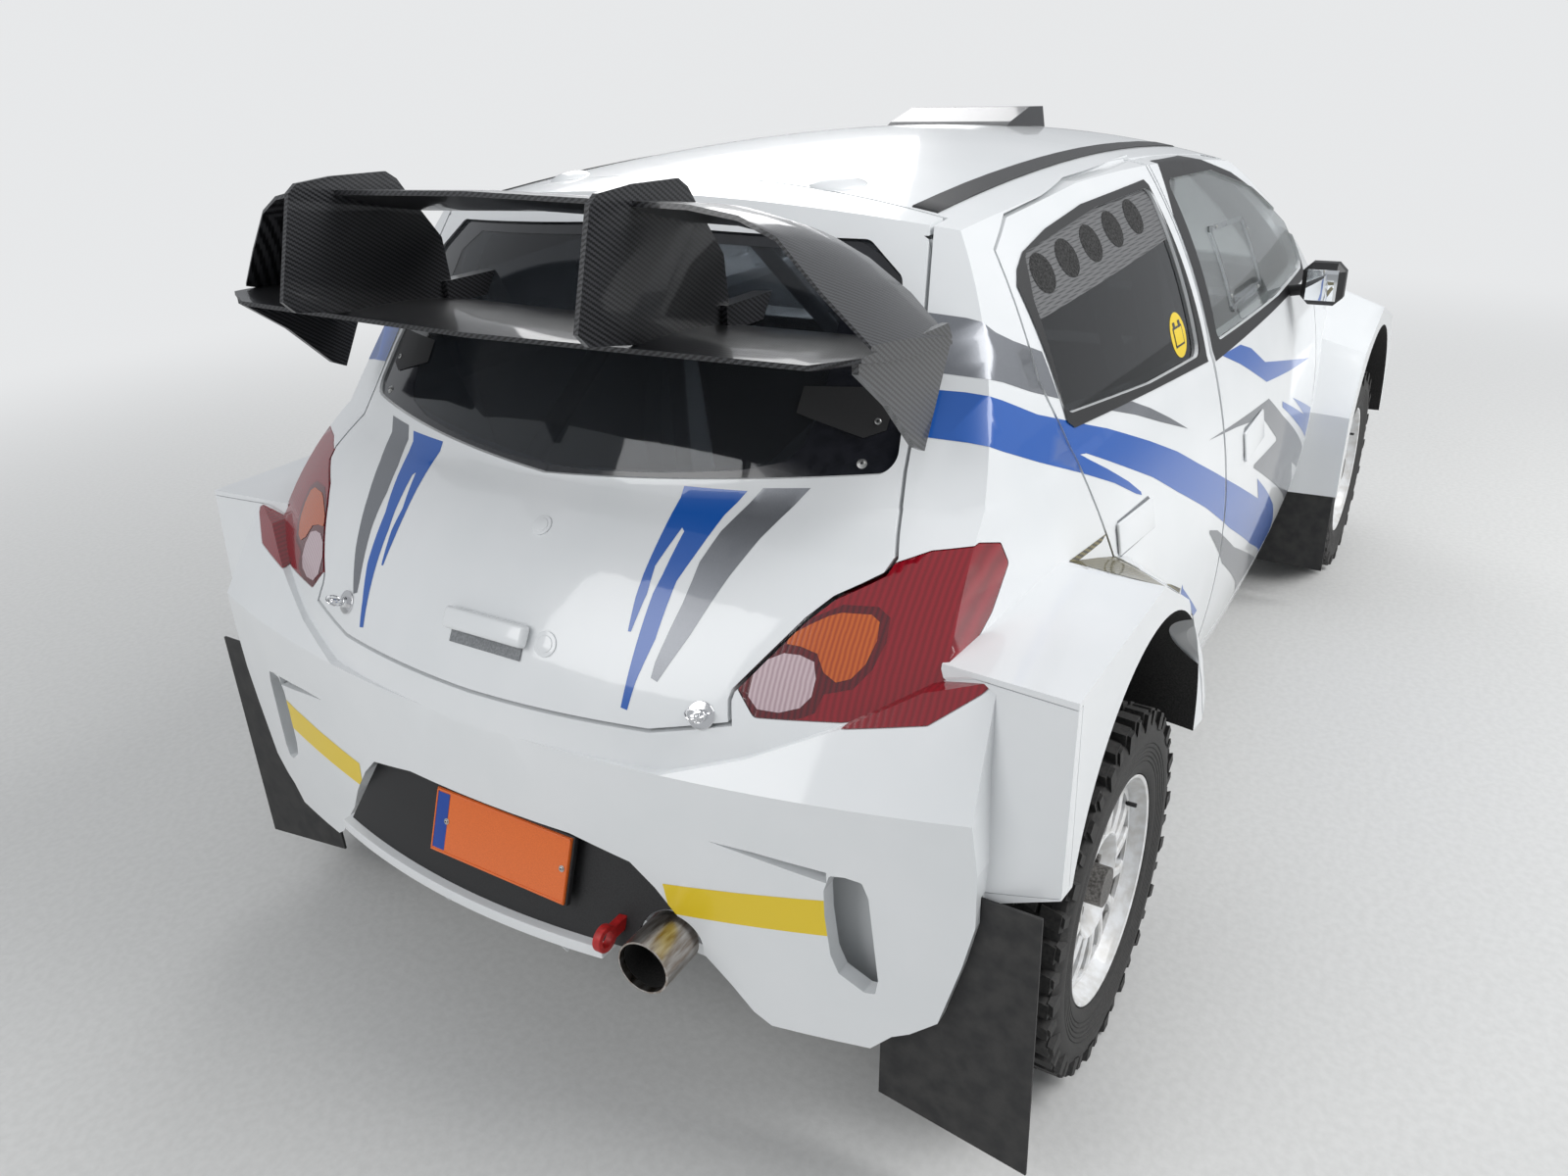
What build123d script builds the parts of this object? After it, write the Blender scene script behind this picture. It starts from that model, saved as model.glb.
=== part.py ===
from build123d import *
import math
import os

# Gravel rally hatchback with five doors, in millimetres. X points forward, Y to the left, Z up.
# The origin lies on the ground on the centre line, midway between nose and tail.

# Main lengths of the car
WHEELBASE = 2450
FRONT_OVERHANG = 725
REAR_OVERHANG = 640
REAR_AXLE_X = -(WHEELBASE + FRONT_OVERHANG - REAR_OVERHANG) / 2
FRONT_AXLE_X = REAR_AXLE_X + WHEELBASE
MIDDLE_X = (REAR_AXLE_X + FRONT_AXLE_X) / 2
ROOF_PEAK = 1503
FLOOR_Z = 262
FLOOR_THICKNESS = 24

# Radii of the turned surfaces that make up the body
CROWN_RADIUS = 2430
SIDE_RADIUS = 13400
TAIL_RADIUS = 1600
NOSE_RADIUS = 1500

# Walls
WALL = 70
END_WALL = 40
PILLAR_WALL = 38
ROOF_WALL = 32
BUMPER_WALL = 26
GLASS_THICKNESS = 6
GLASS_SINK = 7

# Clearances
PANEL_GAP = 6
SEAT_GAP = 0.3
MOVING_GAP = 5

# Half width of the body at its waist, belt and sill
WAIST_Y = 826
BELT_Y = 766
BELT_Z = 1042
SILL_Y = 762
REACH = 1000

# Wheels and tyres
TYRE_RADIUS = 325
TYRE_WIDTH = 205
RIM_RADIUS = 204
RIM_WALL = 9
RIM_WIDTH = 180
RIM_FACE_THICKNESS = 16
RIM_FACE_SINK = 30
RIM_SLOTS = 15
HUB_RADIUS = 64
HUB_BORE = 36
WHEEL_Y = 787
DISC_RADIUS = 150
DISC_THICKNESS = 26

# Wheel arches, each a round top over straight sides
FRONT_ARCH_RADIUS = 395
FRONT_ARCH_Z = 405
REAR_ARCH_RADIUS = 352
REAR_ARCH_Z = 486
ARCH_INNER_Y = 490
ARCH_WALL = 12
FLARE_Y = 908
FLARE_ROOT_Y = 705
KINGPIN_Y = 715
KNUCKLE_REACH = 103
STRUT_Y = 638


def behind(x):
    """X of a place that lies x behind the rear axle."""
    return REAR_AXLE_X - x


def ahead(x):
    """X of a place that lies x ahead of the rear axle."""
    return REAR_AXLE_X + x


def front(x):
    """X of a place that lies x ahead of the front axle."""
    return FRONT_AXLE_X + x


def both(shape):
    """The shape and its twin on the other side of the car."""
    return [shape, mirror(shape, about=Plane.XZ)]


def solids_of(shape):
    shapes = shape if isinstance(shape, list) else [shape]
    return [solid for item in shapes for solid in item.solids()]


def block(x_from, x_to, y_from, y_to, z_from, z_to):
    size = (x_to - x_from, y_to - y_from, z_to - z_from)
    centre = ((x_from + x_to) / 2, (y_from + y_to) / 2, (z_from + z_to) / 2)
    return Pos(*centre) * Box(*size)


def rod(start, end, radius):
    run = Vector(end) - Vector(start)
    seat = (Align.CENTER, Align.CENTER, Align.MIN)
    return Plane(origin=start, z_dir=run) * Cylinder(radius, run.length, align=seat)


def upright(x, y_from, y_to, z, radius):
    """Cylinder across the car."""
    return Pos(x, (y_from + y_to) / 2, z) * Rot(90, 0, 0) * Cylinder(radius, y_to - y_from)


def flat_outline(points, inset=0, rounding=0):
    face = Polygon(*points, align=None)
    if inset:
        face = offset(face, -inset, kind=Kind.INTERSECTION)
    if rounding:
        face = fillet(face.vertices(), rounding)
    return face


def side_face(points, y, inset=0, rounding=0):
    """Face at Y over an outline given as x, z."""
    return Plane.XZ.offset(-y) * flat_outline(points, inset, rounding)


def side_prism(points, y_from, y_to, inset=0, rounding=0):
    return extrude(side_face(points, y_from, inset, rounding), y_to - y_from, dir=(0, 1, 0))


def rear_prism(points, x_from, x_to, inset=0, rounding=0):
    """Solid along X over an outline given as y, z."""
    plane = Plane(origin=(x_from, 0, 0), x_dir=(0, 1, 0), z_dir=(1, 0, 0))
    return extrude(plane * flat_outline(points, inset, rounding), x_to - x_from, dir=(1, 0, 0))


def plan_prism(points, z_from, z_to, inset=0, rounding=0):
    """Solid along Z over an outline given as x, y."""
    face = Pos(0, 0, z_from) * flat_outline(points, inset, rounding)
    return extrude(face, z_to - z_from, dir=(0, 0, 1))


def turned(face, axis, half_turn):
    solid = revolve(face, axis=axis, revolution_arc=2 * half_turn)
    return solid.rotate(axis, -half_turn)


def crowned_top(drop=0):
    """Everything below the roof, windscreen and bonnet, turned about a line far below the car."""
    axis_z = ROOF_PEAK - CROWN_RADIUS
    tail = (behind(760), 0, 1365 - drop)
    screen_top = (front(-1030), 0, 1464 - drop)
    screen_foot = (front(-230), 0, 1042 - drop)
    nose = (front(760), 0, 740 - drop)
    edges = [
        ThreePointArc(tail, (ahead(450), 0, 1496 - drop), screen_top),
        ThreePointArc(screen_top, (front(-620), 0, 1278 - drop), screen_foot),
        ThreePointArc(screen_foot, (front(300), 0, 955 - drop), nose),
        *Polyline(nose, (front(760), 0, axis_z), (behind(760), 0, axis_z), tail).edges(),
    ]
    return turned(make_face(edges), Axis((0, 0, axis_z), (1, 0, 0)), 40)


def curved_sides(wall=0, pillar=0):
    """The body's sides, each turned about an upright line far beyond the other side."""
    sill = (MIDDLE_X, SILL_Y - wall, FLOOR_Z)
    belt = (MIDDLE_X, BELT_Y - wall, BELT_Z)
    frame = (MIDDLE_X, BELT_Y - 8 - pillar, BELT_Z + 20)
    rail = (MIDDLE_X, 560 - pillar, 1470)
    top = (MIDDLE_X, 540 - pillar, 1600)
    far = -REACH
    edges = [
        ThreePointArc(sill, (MIDDLE_X, WAIST_Y - wall, 690), belt),
        Line(belt, frame),
        ThreePointArc(frame, (MIDDLE_X, 672 - pillar, 1290), rail),
        *Polyline(rail, top, (MIDDLE_X, far, 1600), (MIDDLE_X, far, FLOOR_Z), sill).edges(),
    ]
    axis = Axis((MIDDLE_X, WAIST_Y - SIDE_RADIUS, 0), (0, 0, 1))
    left = turned(make_face(edges), axis, 11)
    return left & mirror(left, about=Plane.XZ)


def end_cap(edges, centre_x, direction):
    """One end of the body, turned about an upright line, with a block that covers the rest."""
    axis = Axis((centre_x, 0, 0), (0, 0, 1))
    cap = turned(make_face(edges), axis, 80)
    reach = 5000
    overlap = 300
    middle = centre_x + direction * (reach / 2 - overlap)
    return cap + block(middle - reach / 2, middle + reach / 2, -2000, 2000, FLOOR_Z, 1600)


def tail_end(inset=0):
    centre_x = behind(572) + TAIL_RADIUS
    low = (behind(500) + inset, 0, FLOOR_Z)
    shelf = (behind(572) + inset, 0, 773)
    glass_foot = (behind(352) + inset, 0, 1055)
    roof_end = (behind(60) + inset, 0, 1480)
    top = (ahead(20) + inset, 0, 1600)
    edges = [
        *Polyline(low, (behind(560) + inset, 0, 480), (behind(585) + inset, 0, 722), shelf).edges(),
        ThreePointArc(shelf, (behind(460) + inset, 0, 960), glass_foot),
        Line(glass_foot, roof_end),
        *Polyline(roof_end, top, (centre_x, 0, 1600), (centre_x, 0, FLOOR_Z), low).edges(),
    ]
    return end_cap(edges, centre_x, 1)


def nose_end(inset=0):
    centre_x = front(FRONT_OVERHANG) - NOSE_RADIUS
    low = (front(FRONT_OVERHANG - 70) - inset, 0, FLOOR_Z)
    chin = (front(FRONT_OVERHANG - 3) - inset, 0, 400)
    lip = (front(FRONT_OVERHANG - 15) - inset, 0, 600)
    brow = (front(FRONT_OVERHANG - 150) - inset, 0, 880)
    top = (front(FRONT_OVERHANG - 300) - inset, 0, 1600)
    edges = [
        *Polyline(low, chin, lip).edges(),
        ThreePointArc(lip, (front(FRONT_OVERHANG - 50) - inset, 0, 740), brow),
        *Polyline(brow, top, (centre_x, 0, 1600), (centre_x, 0, FLOOR_Z), low).edges(),
    ]
    return end_cap(edges, centre_x, -1)


def body_form(wall=0, pillar=0, drop=0, ends=0):
    form = curved_sides(wall, pillar) & crowned_top(drop)
    form &= nose_end(ends)
    return form & tail_end(ends)


# The bumper's corners stand fuller than the tail. Profile: x behind the rear axle, z.
# Outline in rear view: y, z
BULGE_RADIUS = 2600
BULGE_FRONT = 340
BULGE_PROFILE = [(574, FLOOR_Z), (579, 480), (584, 722), (489, 870), (469, 890)]
BULGE_OUTLINE = [
    (640, 262), (696, 318), (722, 330), (762, 361), (794, 474), (811, 550), (812, 640), (800, 760), (790, 885),
    (700, 866), (600, 812), (480, 760), (360, 722)]


def corner_bulge(inset=0):
    centre_x = behind(584) + BULGE_RADIUS
    corners = [(behind(x) + inset, 0, z) for x, z in BULGE_PROFILE]
    corners += [(behind(BULGE_FRONT), 0, 890), (behind(BULGE_FRONT), 0, FLOOR_Z)]
    face = make_face(Polyline(*corners, corners[0]).edges())
    form = turned(face, Axis((centre_x, 0, 0), (0, 0, 1)), 24)
    outline = BULGE_OUTLINE + [(-y, z) for y, z in reversed(BULGE_OUTLINE)]
    return form & rear_prism(outline, behind(800), behind(BULGE_FRONT), inset)


def arch_tunnel(axle_x, radius, centre_z, y_from, y_to):
    """A wheel's space: a round top over straight sides, down past the sill."""
    sides = block(axle_x - radius, axle_x + radius, y_from, y_to, -20, centre_z)
    return upright(axle_x, y_from, y_to, centre_z, radius) + sides


# Door outlines in side view. Columns: x ahead of the rear axle, z, the skin's y there,
# and how far the shut line leans so that the door can swing out, 1 for the usual lean.
FRONT_DOOR = [
    (852, 335, 775, 1),
    (852, 780, 825, 1),
    (852, 1060, 762, 1),
    (862, 1436, 590, 1),
    (1240, 1424, 590, 0),
    (1560, 1352, 610, 0),
    (1860, 1215, 640, 0),
    (1985, 1060, 755, 0),
    (1985, 780, 805, 0),
    (1930, 335, 775, 0),
]
REAR_DOOR = [
    (560, 335, 775, 2.3),
    (400, 560, 790, 1),
    (212, 820, 800, 1),
    (122, 1040, 745, 1),
    (66, 1180, 690, 1),
    (92, 1372, 600, 1),
    (180, 1412, 590, 0),
    (500, 1434, 590, 0),
    (846, 1437, 590, 0),
    (846, 780, 825, 0),
    (846, 335, 775, 0),
]
# Window outlines in side view: x ahead of the rear axle, z
FRONT_WINDOW = [(905, 1072), (915, 1392), (1235, 1380), (1530, 1312), (1800, 1195), (1905, 1068), (1500, 1060)]
REAR_WINDOW = [(124, 1116), (140, 1290), (175, 1356), (500, 1386), (800, 1390), (775, 1072), (480, 1084)]
DOOR_INNER_Y = 440
DOOR_LEAN = 0.24
WINDOW_ROUNDING = 26


def door_prism(outline, inset=0):
    """Solid through the side that a door fills, narrower inboard along its shut line."""
    faces = []
    for plane_y in (DOOR_INNER_Y, REACH):
        points = []
        for along, height, skin_y, leans in outline:
            slip = leans * DOOR_LEAN * (skin_y - plane_y)
            points.append((ahead(along + slip), height))
        faces.append(side_face(points, plane_y, inset))
    return loft(faces, ruled=True)


def window_prism(outline, inset=0):
    points = [(ahead(along), height) for along, height in outline]
    return side_prism(points, DOOR_INNER_Y, REACH, inset, WINDOW_ROUNDING)


# Wheel flares. Columns: x from the axle and z at the root, x and z at the outer edge.
REAR_FLARE = [
    (-470, 560, -385, 590),
    (-345, 890, -368, 894),
    (-150, 905, -180, 897),
    (0, 915, 20, 900),
    (300, 850, 190, 806),
    (520, 720, 350, 628),
    (640, 560, 425, 500),
    (640, 450, 425, 450),
]
FRONT_FLARE = [
    (-455, 380, -445, 380),
    (-455, 640, -430, 620),
    (-340, 850, -290, 780),
    (0, 940, 0, 862),
    (340, 860, 290, 780),
    (480, 700, 430, 620),
    (500, 430, 455, 430),
]


def flare(outline, axle_x):
    root = side_face([(axle_x + row[0], row[1]) for row in outline], FLARE_ROOT_Y)
    edge = side_face([(axle_x + row[2], row[3]) for row in outline], FLARE_Y)
    return loft([root, edge], ruled=True)


front_tunnel = arch_tunnel(FRONT_AXLE_X, FRONT_ARCH_RADIUS, FRONT_ARCH_Z, ARCH_INNER_Y, REACH)
rear_tunnel = arch_tunnel(REAR_AXLE_X, REAR_ARCH_RADIUS, REAR_ARCH_Z, ARCH_INNER_Y, REACH)
house_y = ARCH_INNER_Y - ARCH_WALL
front_house = arch_tunnel(FRONT_AXLE_X, FRONT_ARCH_RADIUS + ARCH_WALL, FRONT_ARCH_Z, house_y, WAIST_Y)
rear_house = arch_tunnel(REAR_AXLE_X, REAR_ARCH_RADIUS + ARCH_WALL, REAR_ARCH_Z, house_y, WAIST_Y)
below_floor = block(behind(2000), front(2000), -REACH, REACH, -100, FLOOR_Z)

# The body's outer form and the hollow inside it. The wheelhouses close the arches off.
outer = body_form() + corner_bulge()
hollow = body_form(WALL, PILLAR_WALL, ROOF_WALL, END_WALL)
hollow -= block(behind(2000), front(2000), -REACH, REACH, 0, FLOOR_Z + FLOOR_THICKNESS)
houses = [outer & (shape - below_floor) for shape in (front_house, rear_house)]
for house in houses:
    for side in both(house):
        hollow -= side
skin = outer - hollow
flares = [flare(REAR_FLARE, REAR_AXLE_X), flare(FRONT_FLARE, FRONT_AXLE_X)]
for piece in flares:
    for side in both(piece):
        skin += side
for tunnel in (front_tunnel, rear_tunnel):
    for side in both(tunnel):
        skin -= side

parts = {}

# Layers that panes are cut from
pane_outer = GLASS_SINK
pane_inner = GLASS_SINK + GLASS_THICKNESS
side_layer = curved_sides(pane_outer, pane_outer) - curved_sides(pane_inner, pane_inner)

# Front and rear doors with their windows
door_back = curved_sides(WALL - 1, PILLAR_WALL - 1)
opening_back = curved_sides(WALL + 2, PILLAR_WALL + 2)
for name, outline, window in (("front", FRONT_DOOR, FRONT_WINDOW), ("rear", REAR_DOOR, REAR_WINDOW)):
    tight = door_prism(outline, PANEL_GAP / 2) - door_back
    wide = door_prism(outline, -PANEL_GAP / 2) - opening_back
    opening = window_prism(window)
    panel = skin & tight & block(behind(900), front(900), 0, REACH, 0, 1600)
    pane = side_layer & opening
    for side, shape, glass in zip(("left", "right"), both(panel - opening), both(pane)):
        parts[f"{name}_{side}_door"] = shape
        parts[f"{name}_{side}_door_glass"] = glass
    for cutter in both(wide & block(behind(900), front(900), 0, REACH, 0, 1600)):
        skin -= cutter

# Bonnet. Columns: x ahead of the front axle, y
BONNET = [(-205, 0), (-215, 330), (-285, 610), (-100, 640), (300, 600), (520, 500), (600, 0)]
BONNET_FLOOR = 640
bonnet_points = [(front(x), y) for x, y in BONNET]
bonnet_points += [(front(x), -y) for x, y in reversed(BONNET[1:-1])]
under_bonnet = crowned_top(ROOF_WALL - 1)
parts["bonnet"] = (outer & plan_prism(bonnet_points, BONNET_FLOOR, 1100, PANEL_GAP / 2)) - under_bonnet
skin -= plan_prism(bonnet_points, BONNET_FLOOR, 1100, -PANEL_GAP / 2)

# Windscreen: x ahead of the front axle, y, in plan
SCREEN = [(-262, 0), (-285, 330), (-390, 600), (-960, 490), (-985, 300), (-990, 0)]
screen_points = [(front(x), y) for x, y in SCREEN]
screen_points += [(front(x), -y) for x, y in reversed(SCREEN[1:-1])]
screen_opening = plan_prism(screen_points, 900, 1560, 0, 20) - crowned_top(ROOF_WALL + 8)
screen_layer = crowned_top(pane_outer) - crowned_top(pane_inner)
parts["windscreen"] = screen_layer & screen_opening
skin -= screen_opening

# Tailgate, hinged at the roof's rear edge. Columns: y, z in rear view
TAILGATE = [
    (0, 772), (330, 776), (448, 800), (441, 830), (443, 843), (463, 868), (490, 902), (515, 934), (543, 960),
    (576, 976), (597, 987), (603, 1004), (592, 1028), (579, 1057), (571, 1100), (566, 1140), (545, 1260),
    (490, 1500), (0, 1560)]
TAILGATE_FRONT_X = 70
TAILGATE_LOW_X = 10
TAILGATE_STEP_Z = 1400
tailgate_points = TAILGATE + [(-y, z) for y, z in reversed(TAILGATE[1:-1])]
tight = rear_prism(tailgate_points, behind(800), ahead(TAILGATE_FRONT_X - PANEL_GAP), PANEL_GAP / 2)
wide = rear_prism(tailgate_points, behind(800), ahead(TAILGATE_FRONT_X), -PANEL_GAP / 2)
tight -= block(ahead(TAILGATE_LOW_X - PANEL_GAP), ahead(200), -REACH, REACH, 0, TAILGATE_STEP_Z + PANEL_GAP / 2)
wide -= block(ahead(TAILGATE_LOW_X), ahead(200), -REACH, REACH, 0, TAILGATE_STEP_Z - PANEL_GAP / 2)
tailgate = skin & tight
skin -= wide
REAR_GLASS = [(0, 1062), (560, 1098), (546, 1180), (490, 1350), (430, 1400), (0, 1420)]
rear_glass_points = REAR_GLASS + [(-y, z) for y, z in reversed(REAR_GLASS[1:-1])]
rear_opening = rear_prism(rear_glass_points, behind(800), ahead(-20), 0, 25)
parts["tailgate"] = tailgate - rear_opening
tail_layer = tail_end(pane_outer) - tail_end(pane_inner)
parts["tailgate_glass"] = outer & tail_layer & rear_opening & block(behind(600), ahead(60), -REACH, REACH, 1000, 1600)

# Tail lamps at the corners. Columns: place along the corner's slant, z
LAMP = [
    (-2, 811), (-19, 848), (30, 900), (100, 946), (219, 999), (276, 1013), (345, 1018), (392, 1000),
    (406, 966), (360, 915), (293, 872), (215, 828), (113, 813)]
LAMP_DEPTH = 36


def lamp_prism(inset):
    plane = Plane(origin=(ahead(0), 0, 0), x_dir=(1, 1, 0), z_dir=(1, -1, 0))
    face = plane * flat_outline([(u, z) for u, z in LAMP], inset, 8)
    return extrude(face, 1200, dir=(-1, 1, 0)) & block(behind(700), behind(100), 300, REACH, 700, 1100)


lamp_shell = outer - body_form(LAMP_DEPTH, LAMP_DEPTH, LAMP_DEPTH, LAMP_DEPTH)
parts["tail_lamps"] = both((lamp_shell & lamp_prism(PANEL_GAP / 4)) - wide)
for side in both(lamp_shell & lamp_prism(0)):
    skin -= side

# The rear bumper, whose lower middle is open and holds a dark panel. Columns: y, z
REAR_BUMPER = [(-700, 262), (-700, 884), (-352, 884), (-352, 592), (-434, 592), (-434, 262)]
FLAP_THICKNESS = 6
BUMPER_FOOT_Z = 286
BUMPER_RECESS = [
    (180, 566), (290, 545), (330, 508), (378, 447), (407, 397), (446, 353), (482, 306), (510, 286), (528, 286), (528, 200)]
BUMPER_RECESS += [(-y, z) for y, z in reversed(BUMPER_RECESS)]
BUMPER_VENT = [
    (603, 530), (603, 575), (612, 604), (634, 606), (658, 601), (667, 575), (678, 425), (673, 397),
    (657, 397), (620, 425), (609, 458)]
VENT_SLOT = [(608, 590), (500, 611), (430, 623), (500, 620), (608, 609)]
LIP_Z = 392
LIP_HEIGHT = 22
PANEL_THICKNESS = 8
bumper_core = body_form(BUMPER_WALL, BUMPER_WALL, 0, BUMPER_WALL) + corner_bulge(BUMPER_WALL)
bumper_points = [(ahead(x), z) for x, z in REAR_BUMPER]
rear_bumper = (skin & side_prism(bumper_points, -REACH, REACH, PANEL_GAP / 4)) - bumper_core
skin -= side_prism(bumper_points, -REACH, REACH)
skin -= block(behind(440), behind(434 - FLAP_THICKNESS), -REACH, REACH, 0, 592)
rear_bumper -= rear_prism(BUMPER_RECESS, behind(800), behind(380))
rear_bumper -= block(behind(800), behind(380), -REACH, REACH, 0, BUMPER_FOOT_Z)
vent = rear_prism(BUMPER_VENT, behind(800), behind(380), 0, 5) + rear_prism(VENT_SLOT, behind(800), behind(380))
for side in both(vent):
    rear_bumper -= side
parts["rear_bumper"] = rear_bumper
PANEL_TOP = (-533, 600)
PANEL_FOOT = (-612, LIP_Z)
panel_x = behind(572) + TAIL_RADIUS


def leaning_shell(top, foot, thickness):
    """A thin wall curved as the tail is, from a top edge down to a foot, given as x, z."""
    corners = [(ahead(top[0]), 0, top[1]), (ahead(foot[0]), 0, foot[1])]
    corners += [(ahead(foot[0]) + thickness, 0, foot[1]), (ahead(top[0]) + thickness, 0, top[1])]
    wall = make_face(Polyline(*corners, corners[0]).edges())
    return turned(wall, Axis((panel_x, 0, 0), (0, 0, 1)), 30)


PANEL = [(-280, 600), (280, 600), (395, LIP_Z - 10), (-395, LIP_Z - 10)]
parts["rear_panel"] = leaning_shell(PANEL_TOP, PANEL_FOOT, PANEL_THICKNESS) & rear_prism(PANEL, behind(700), behind(380))
LIP = [(-250, LIP_Z), (400, LIP_Z), (400, LIP_Z - LIP_HEIGHT), (-250, LIP_Z - LIP_HEIGHT)]
lip_wall = leaning_shell((PANEL_FOOT[0] - 16, LIP_Z - SEAT_GAP), (PANEL_FOOT[0] - 16, LIP_Z - LIP_HEIGHT), 40)
parts["rear_lip"] = lip_wall & rear_prism(LIP, behind(700), behind(380))

# The nose has a wide lower intake behind a mesh. Columns: y, z
FRONT_BUMPER = [(800, 262), (800, 700), (640, 700), (440, 640), (405, 262)]
INTAKE = [(-470, 330), (470, 330), (520, 520), (380, 590), (-380, 590), (-520, 520)]
front_points = [(front(x), z) for x, z in FRONT_BUMPER]
front_bumper = (skin & side_prism(front_points, -REACH, REACH, PANEL_GAP / 4)) - bumper_core
skin -= side_prism(front_points, -REACH, REACH)
parts["front_bumper"] = front_bumper - rear_prism(INTAKE, front(300), front(900), 0, 20)
grille_core = body_form(BUMPER_WALL + 8, BUMPER_WALL, 0, BUMPER_WALL + 8)
panel_form = body_form(BUMPER_WALL + SEAT_GAP, BUMPER_WALL, 0, BUMPER_WALL + SEAT_GAP)
parts["grille"] = (panel_form - grille_core) & rear_prism(INTAKE, front(450), front(900), -10, 20)

# Front fenders, from the door's shut line to the bumper and up to the bonnet's edge
FENDER_INNER_Y = 500
FENDER = [
    (-462, 300), (-462, 560), (-459, 1010), (-398, 1060), (-300, 1085), (620, 860), (640, 700), (440, 640), (405, 300)]
fender_points = [(front(x), z) for x, z in FENDER]
inner_house = arch_tunnel(FRONT_AXLE_X, FRONT_ARCH_RADIUS + ARCH_WALL, FRONT_ARCH_Z, house_y, 738)
fender = skin & side_prism(fender_points, FENDER_INNER_Y + 2, REACH, PANEL_GAP / 4)
parts["front_fenders"] = both(fender - inner_house)
for side in both(side_prism(fender_points, FENDER_INNER_Y, REACH) - inner_house):
    skin -= side

# Headlamps at the nose's corners. Columns: y, z
HEADLAMP = [(330, 600), (420, 690), (720, 800), (700, 690), (560, 610)]
lamp_block = rear_prism(HEADLAMP, front(330), front(900), 0, 15)
parts["headlamps"] = both(lamp_shell & lamp_block)
for side in both(lamp_shell & rear_prism(HEADLAMP, front(330), front(900), -1, 15)):
    for name in ("front_bumper", "front_fenders", "bonnet"):
        parts[name] = Compound(solids_of(parts[name])) - side
    skin -= side

# Bulkheads and the plate behind the rear bumper tie the shell together
BULKHEAD_X = -240
BULKHEAD_THICKNESS = 16
bulkhead_back = front(BULKHEAD_X)
bulkhead_front = bulkhead_back + BULKHEAD_THICKNESS
bulkhead = crowned_top(ROOF_WALL + 4) & block(bulkhead_back, bulkhead_front, -485, 485, FLOOR_Z, 1100)
bulkhead += crowned_top(ROOF_WALL / 2) & block(bulkhead_back, bulkhead_front, -290, 290, 800, 1100)
rear_plate = outer & block(behind(400), behind(388), -640, 640, FLOOR_Z + 10, 770)
front_plate = block(front(386), front(402), -485, 485, FLOOR_Z, 718)
nose_shelf = outer & block(front(386), front(668), -320, 320, 702, 718)
skin = skin + bulkhead + rear_plate + front_plate + nose_shelf

# Centre pillars between the doors, inboard of them. Columns: z, outer y
PILLAR = [(FLOOR_Z + 10, 680), (700, 740), (1040, 682), (1290, 622), (1440, 530)]
PILLAR_DEPTH = 56
PILLAR_WIDTH = 100
pillar_x = ahead(850)
faces = []
for height, outer_y in PILLAR:
    rectangle = Rectangle(PILLAR_WIDTH, PILLAR_DEPTH)
    faces.append(Pos(pillar_x, outer_y - PILLAR_DEPTH / 2, height) * rectangle)
pillar = loft(faces, ruled=True)
for side in both(pillar):
    skin += side
for axle_x in (FRONT_AXLE_X, REAR_AXLE_X):
    for side in both(upright(axle_x, house_y - 30, ARCH_INNER_Y + 30, TYRE_RADIUS, 34)):
        skin -= side
parts["body_shell"] = skin


# Rear wing on the tailgate
WING_HALF = 620


def wing_section(y, nose_x, nose_z, tail_x, tail_z, thickness):
    """A thin aerofoil section at y, from its front edge to its rear edge."""
    plane = Plane.XZ.offset(-y)
    chord = Vector(tail_x - nose_x, tail_z - nose_z)
    normal = Vector(chord.Y, -chord.X).normalized() * (thickness / 2)
    middle = Vector(nose_x, nose_z) + chord * 0.4
    start = Vector(nose_x, nose_z)
    end = Vector(tail_x, tail_z)
    low = start - normal * 0.3
    high = start + normal * 0.3
    upper = ThreePointArc(tuple(high)[:2], tuple(middle + normal)[:2], tuple(end + normal * 0.3)[:2])
    lower = ThreePointArc(tuple(low)[:2], tuple(middle - normal)[:2], tuple(end - normal * 0.3)[:2])
    face = make_face([
        upper, lower,
        Line(tuple(high)[:2], tuple(low)[:2]),
        Line(tuple(end + normal * 0.3)[:2], tuple(end - normal * 0.3)[:2]),
    ])
    return plane * face


# Columns: y, front edge x and z, rear edge x and z, thickness; x is from the rear axle
LOWER_PLANE = [(0, -210, 1290, -470, 1310, 24), (560, -190, 1290, -440, 1310, 24), (WING_HALF, -150, 1290, -410, 1318, 20)]
UPPER_PLANE = [
    (0, -190, 1452, -430, 1500, 24),
    (380, -180, 1440, -420, 1492, 24),
    (450, -172, 1420, -412, 1480, 22),
    (500, -165, 1394, -405, 1456, 20),
    (560, -155, 1348, -398, 1390, 20),
    (WING_HALF, -145, 1284, -385, 1328, 18),
]


def wing_plane(table):
    half = loft([wing_section(row[0], ahead(row[1]), row[2], ahead(row[3]), row[4], row[5]) for row in table], ruled=True)
    return half + mirror(half, about=Plane.XZ)


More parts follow.
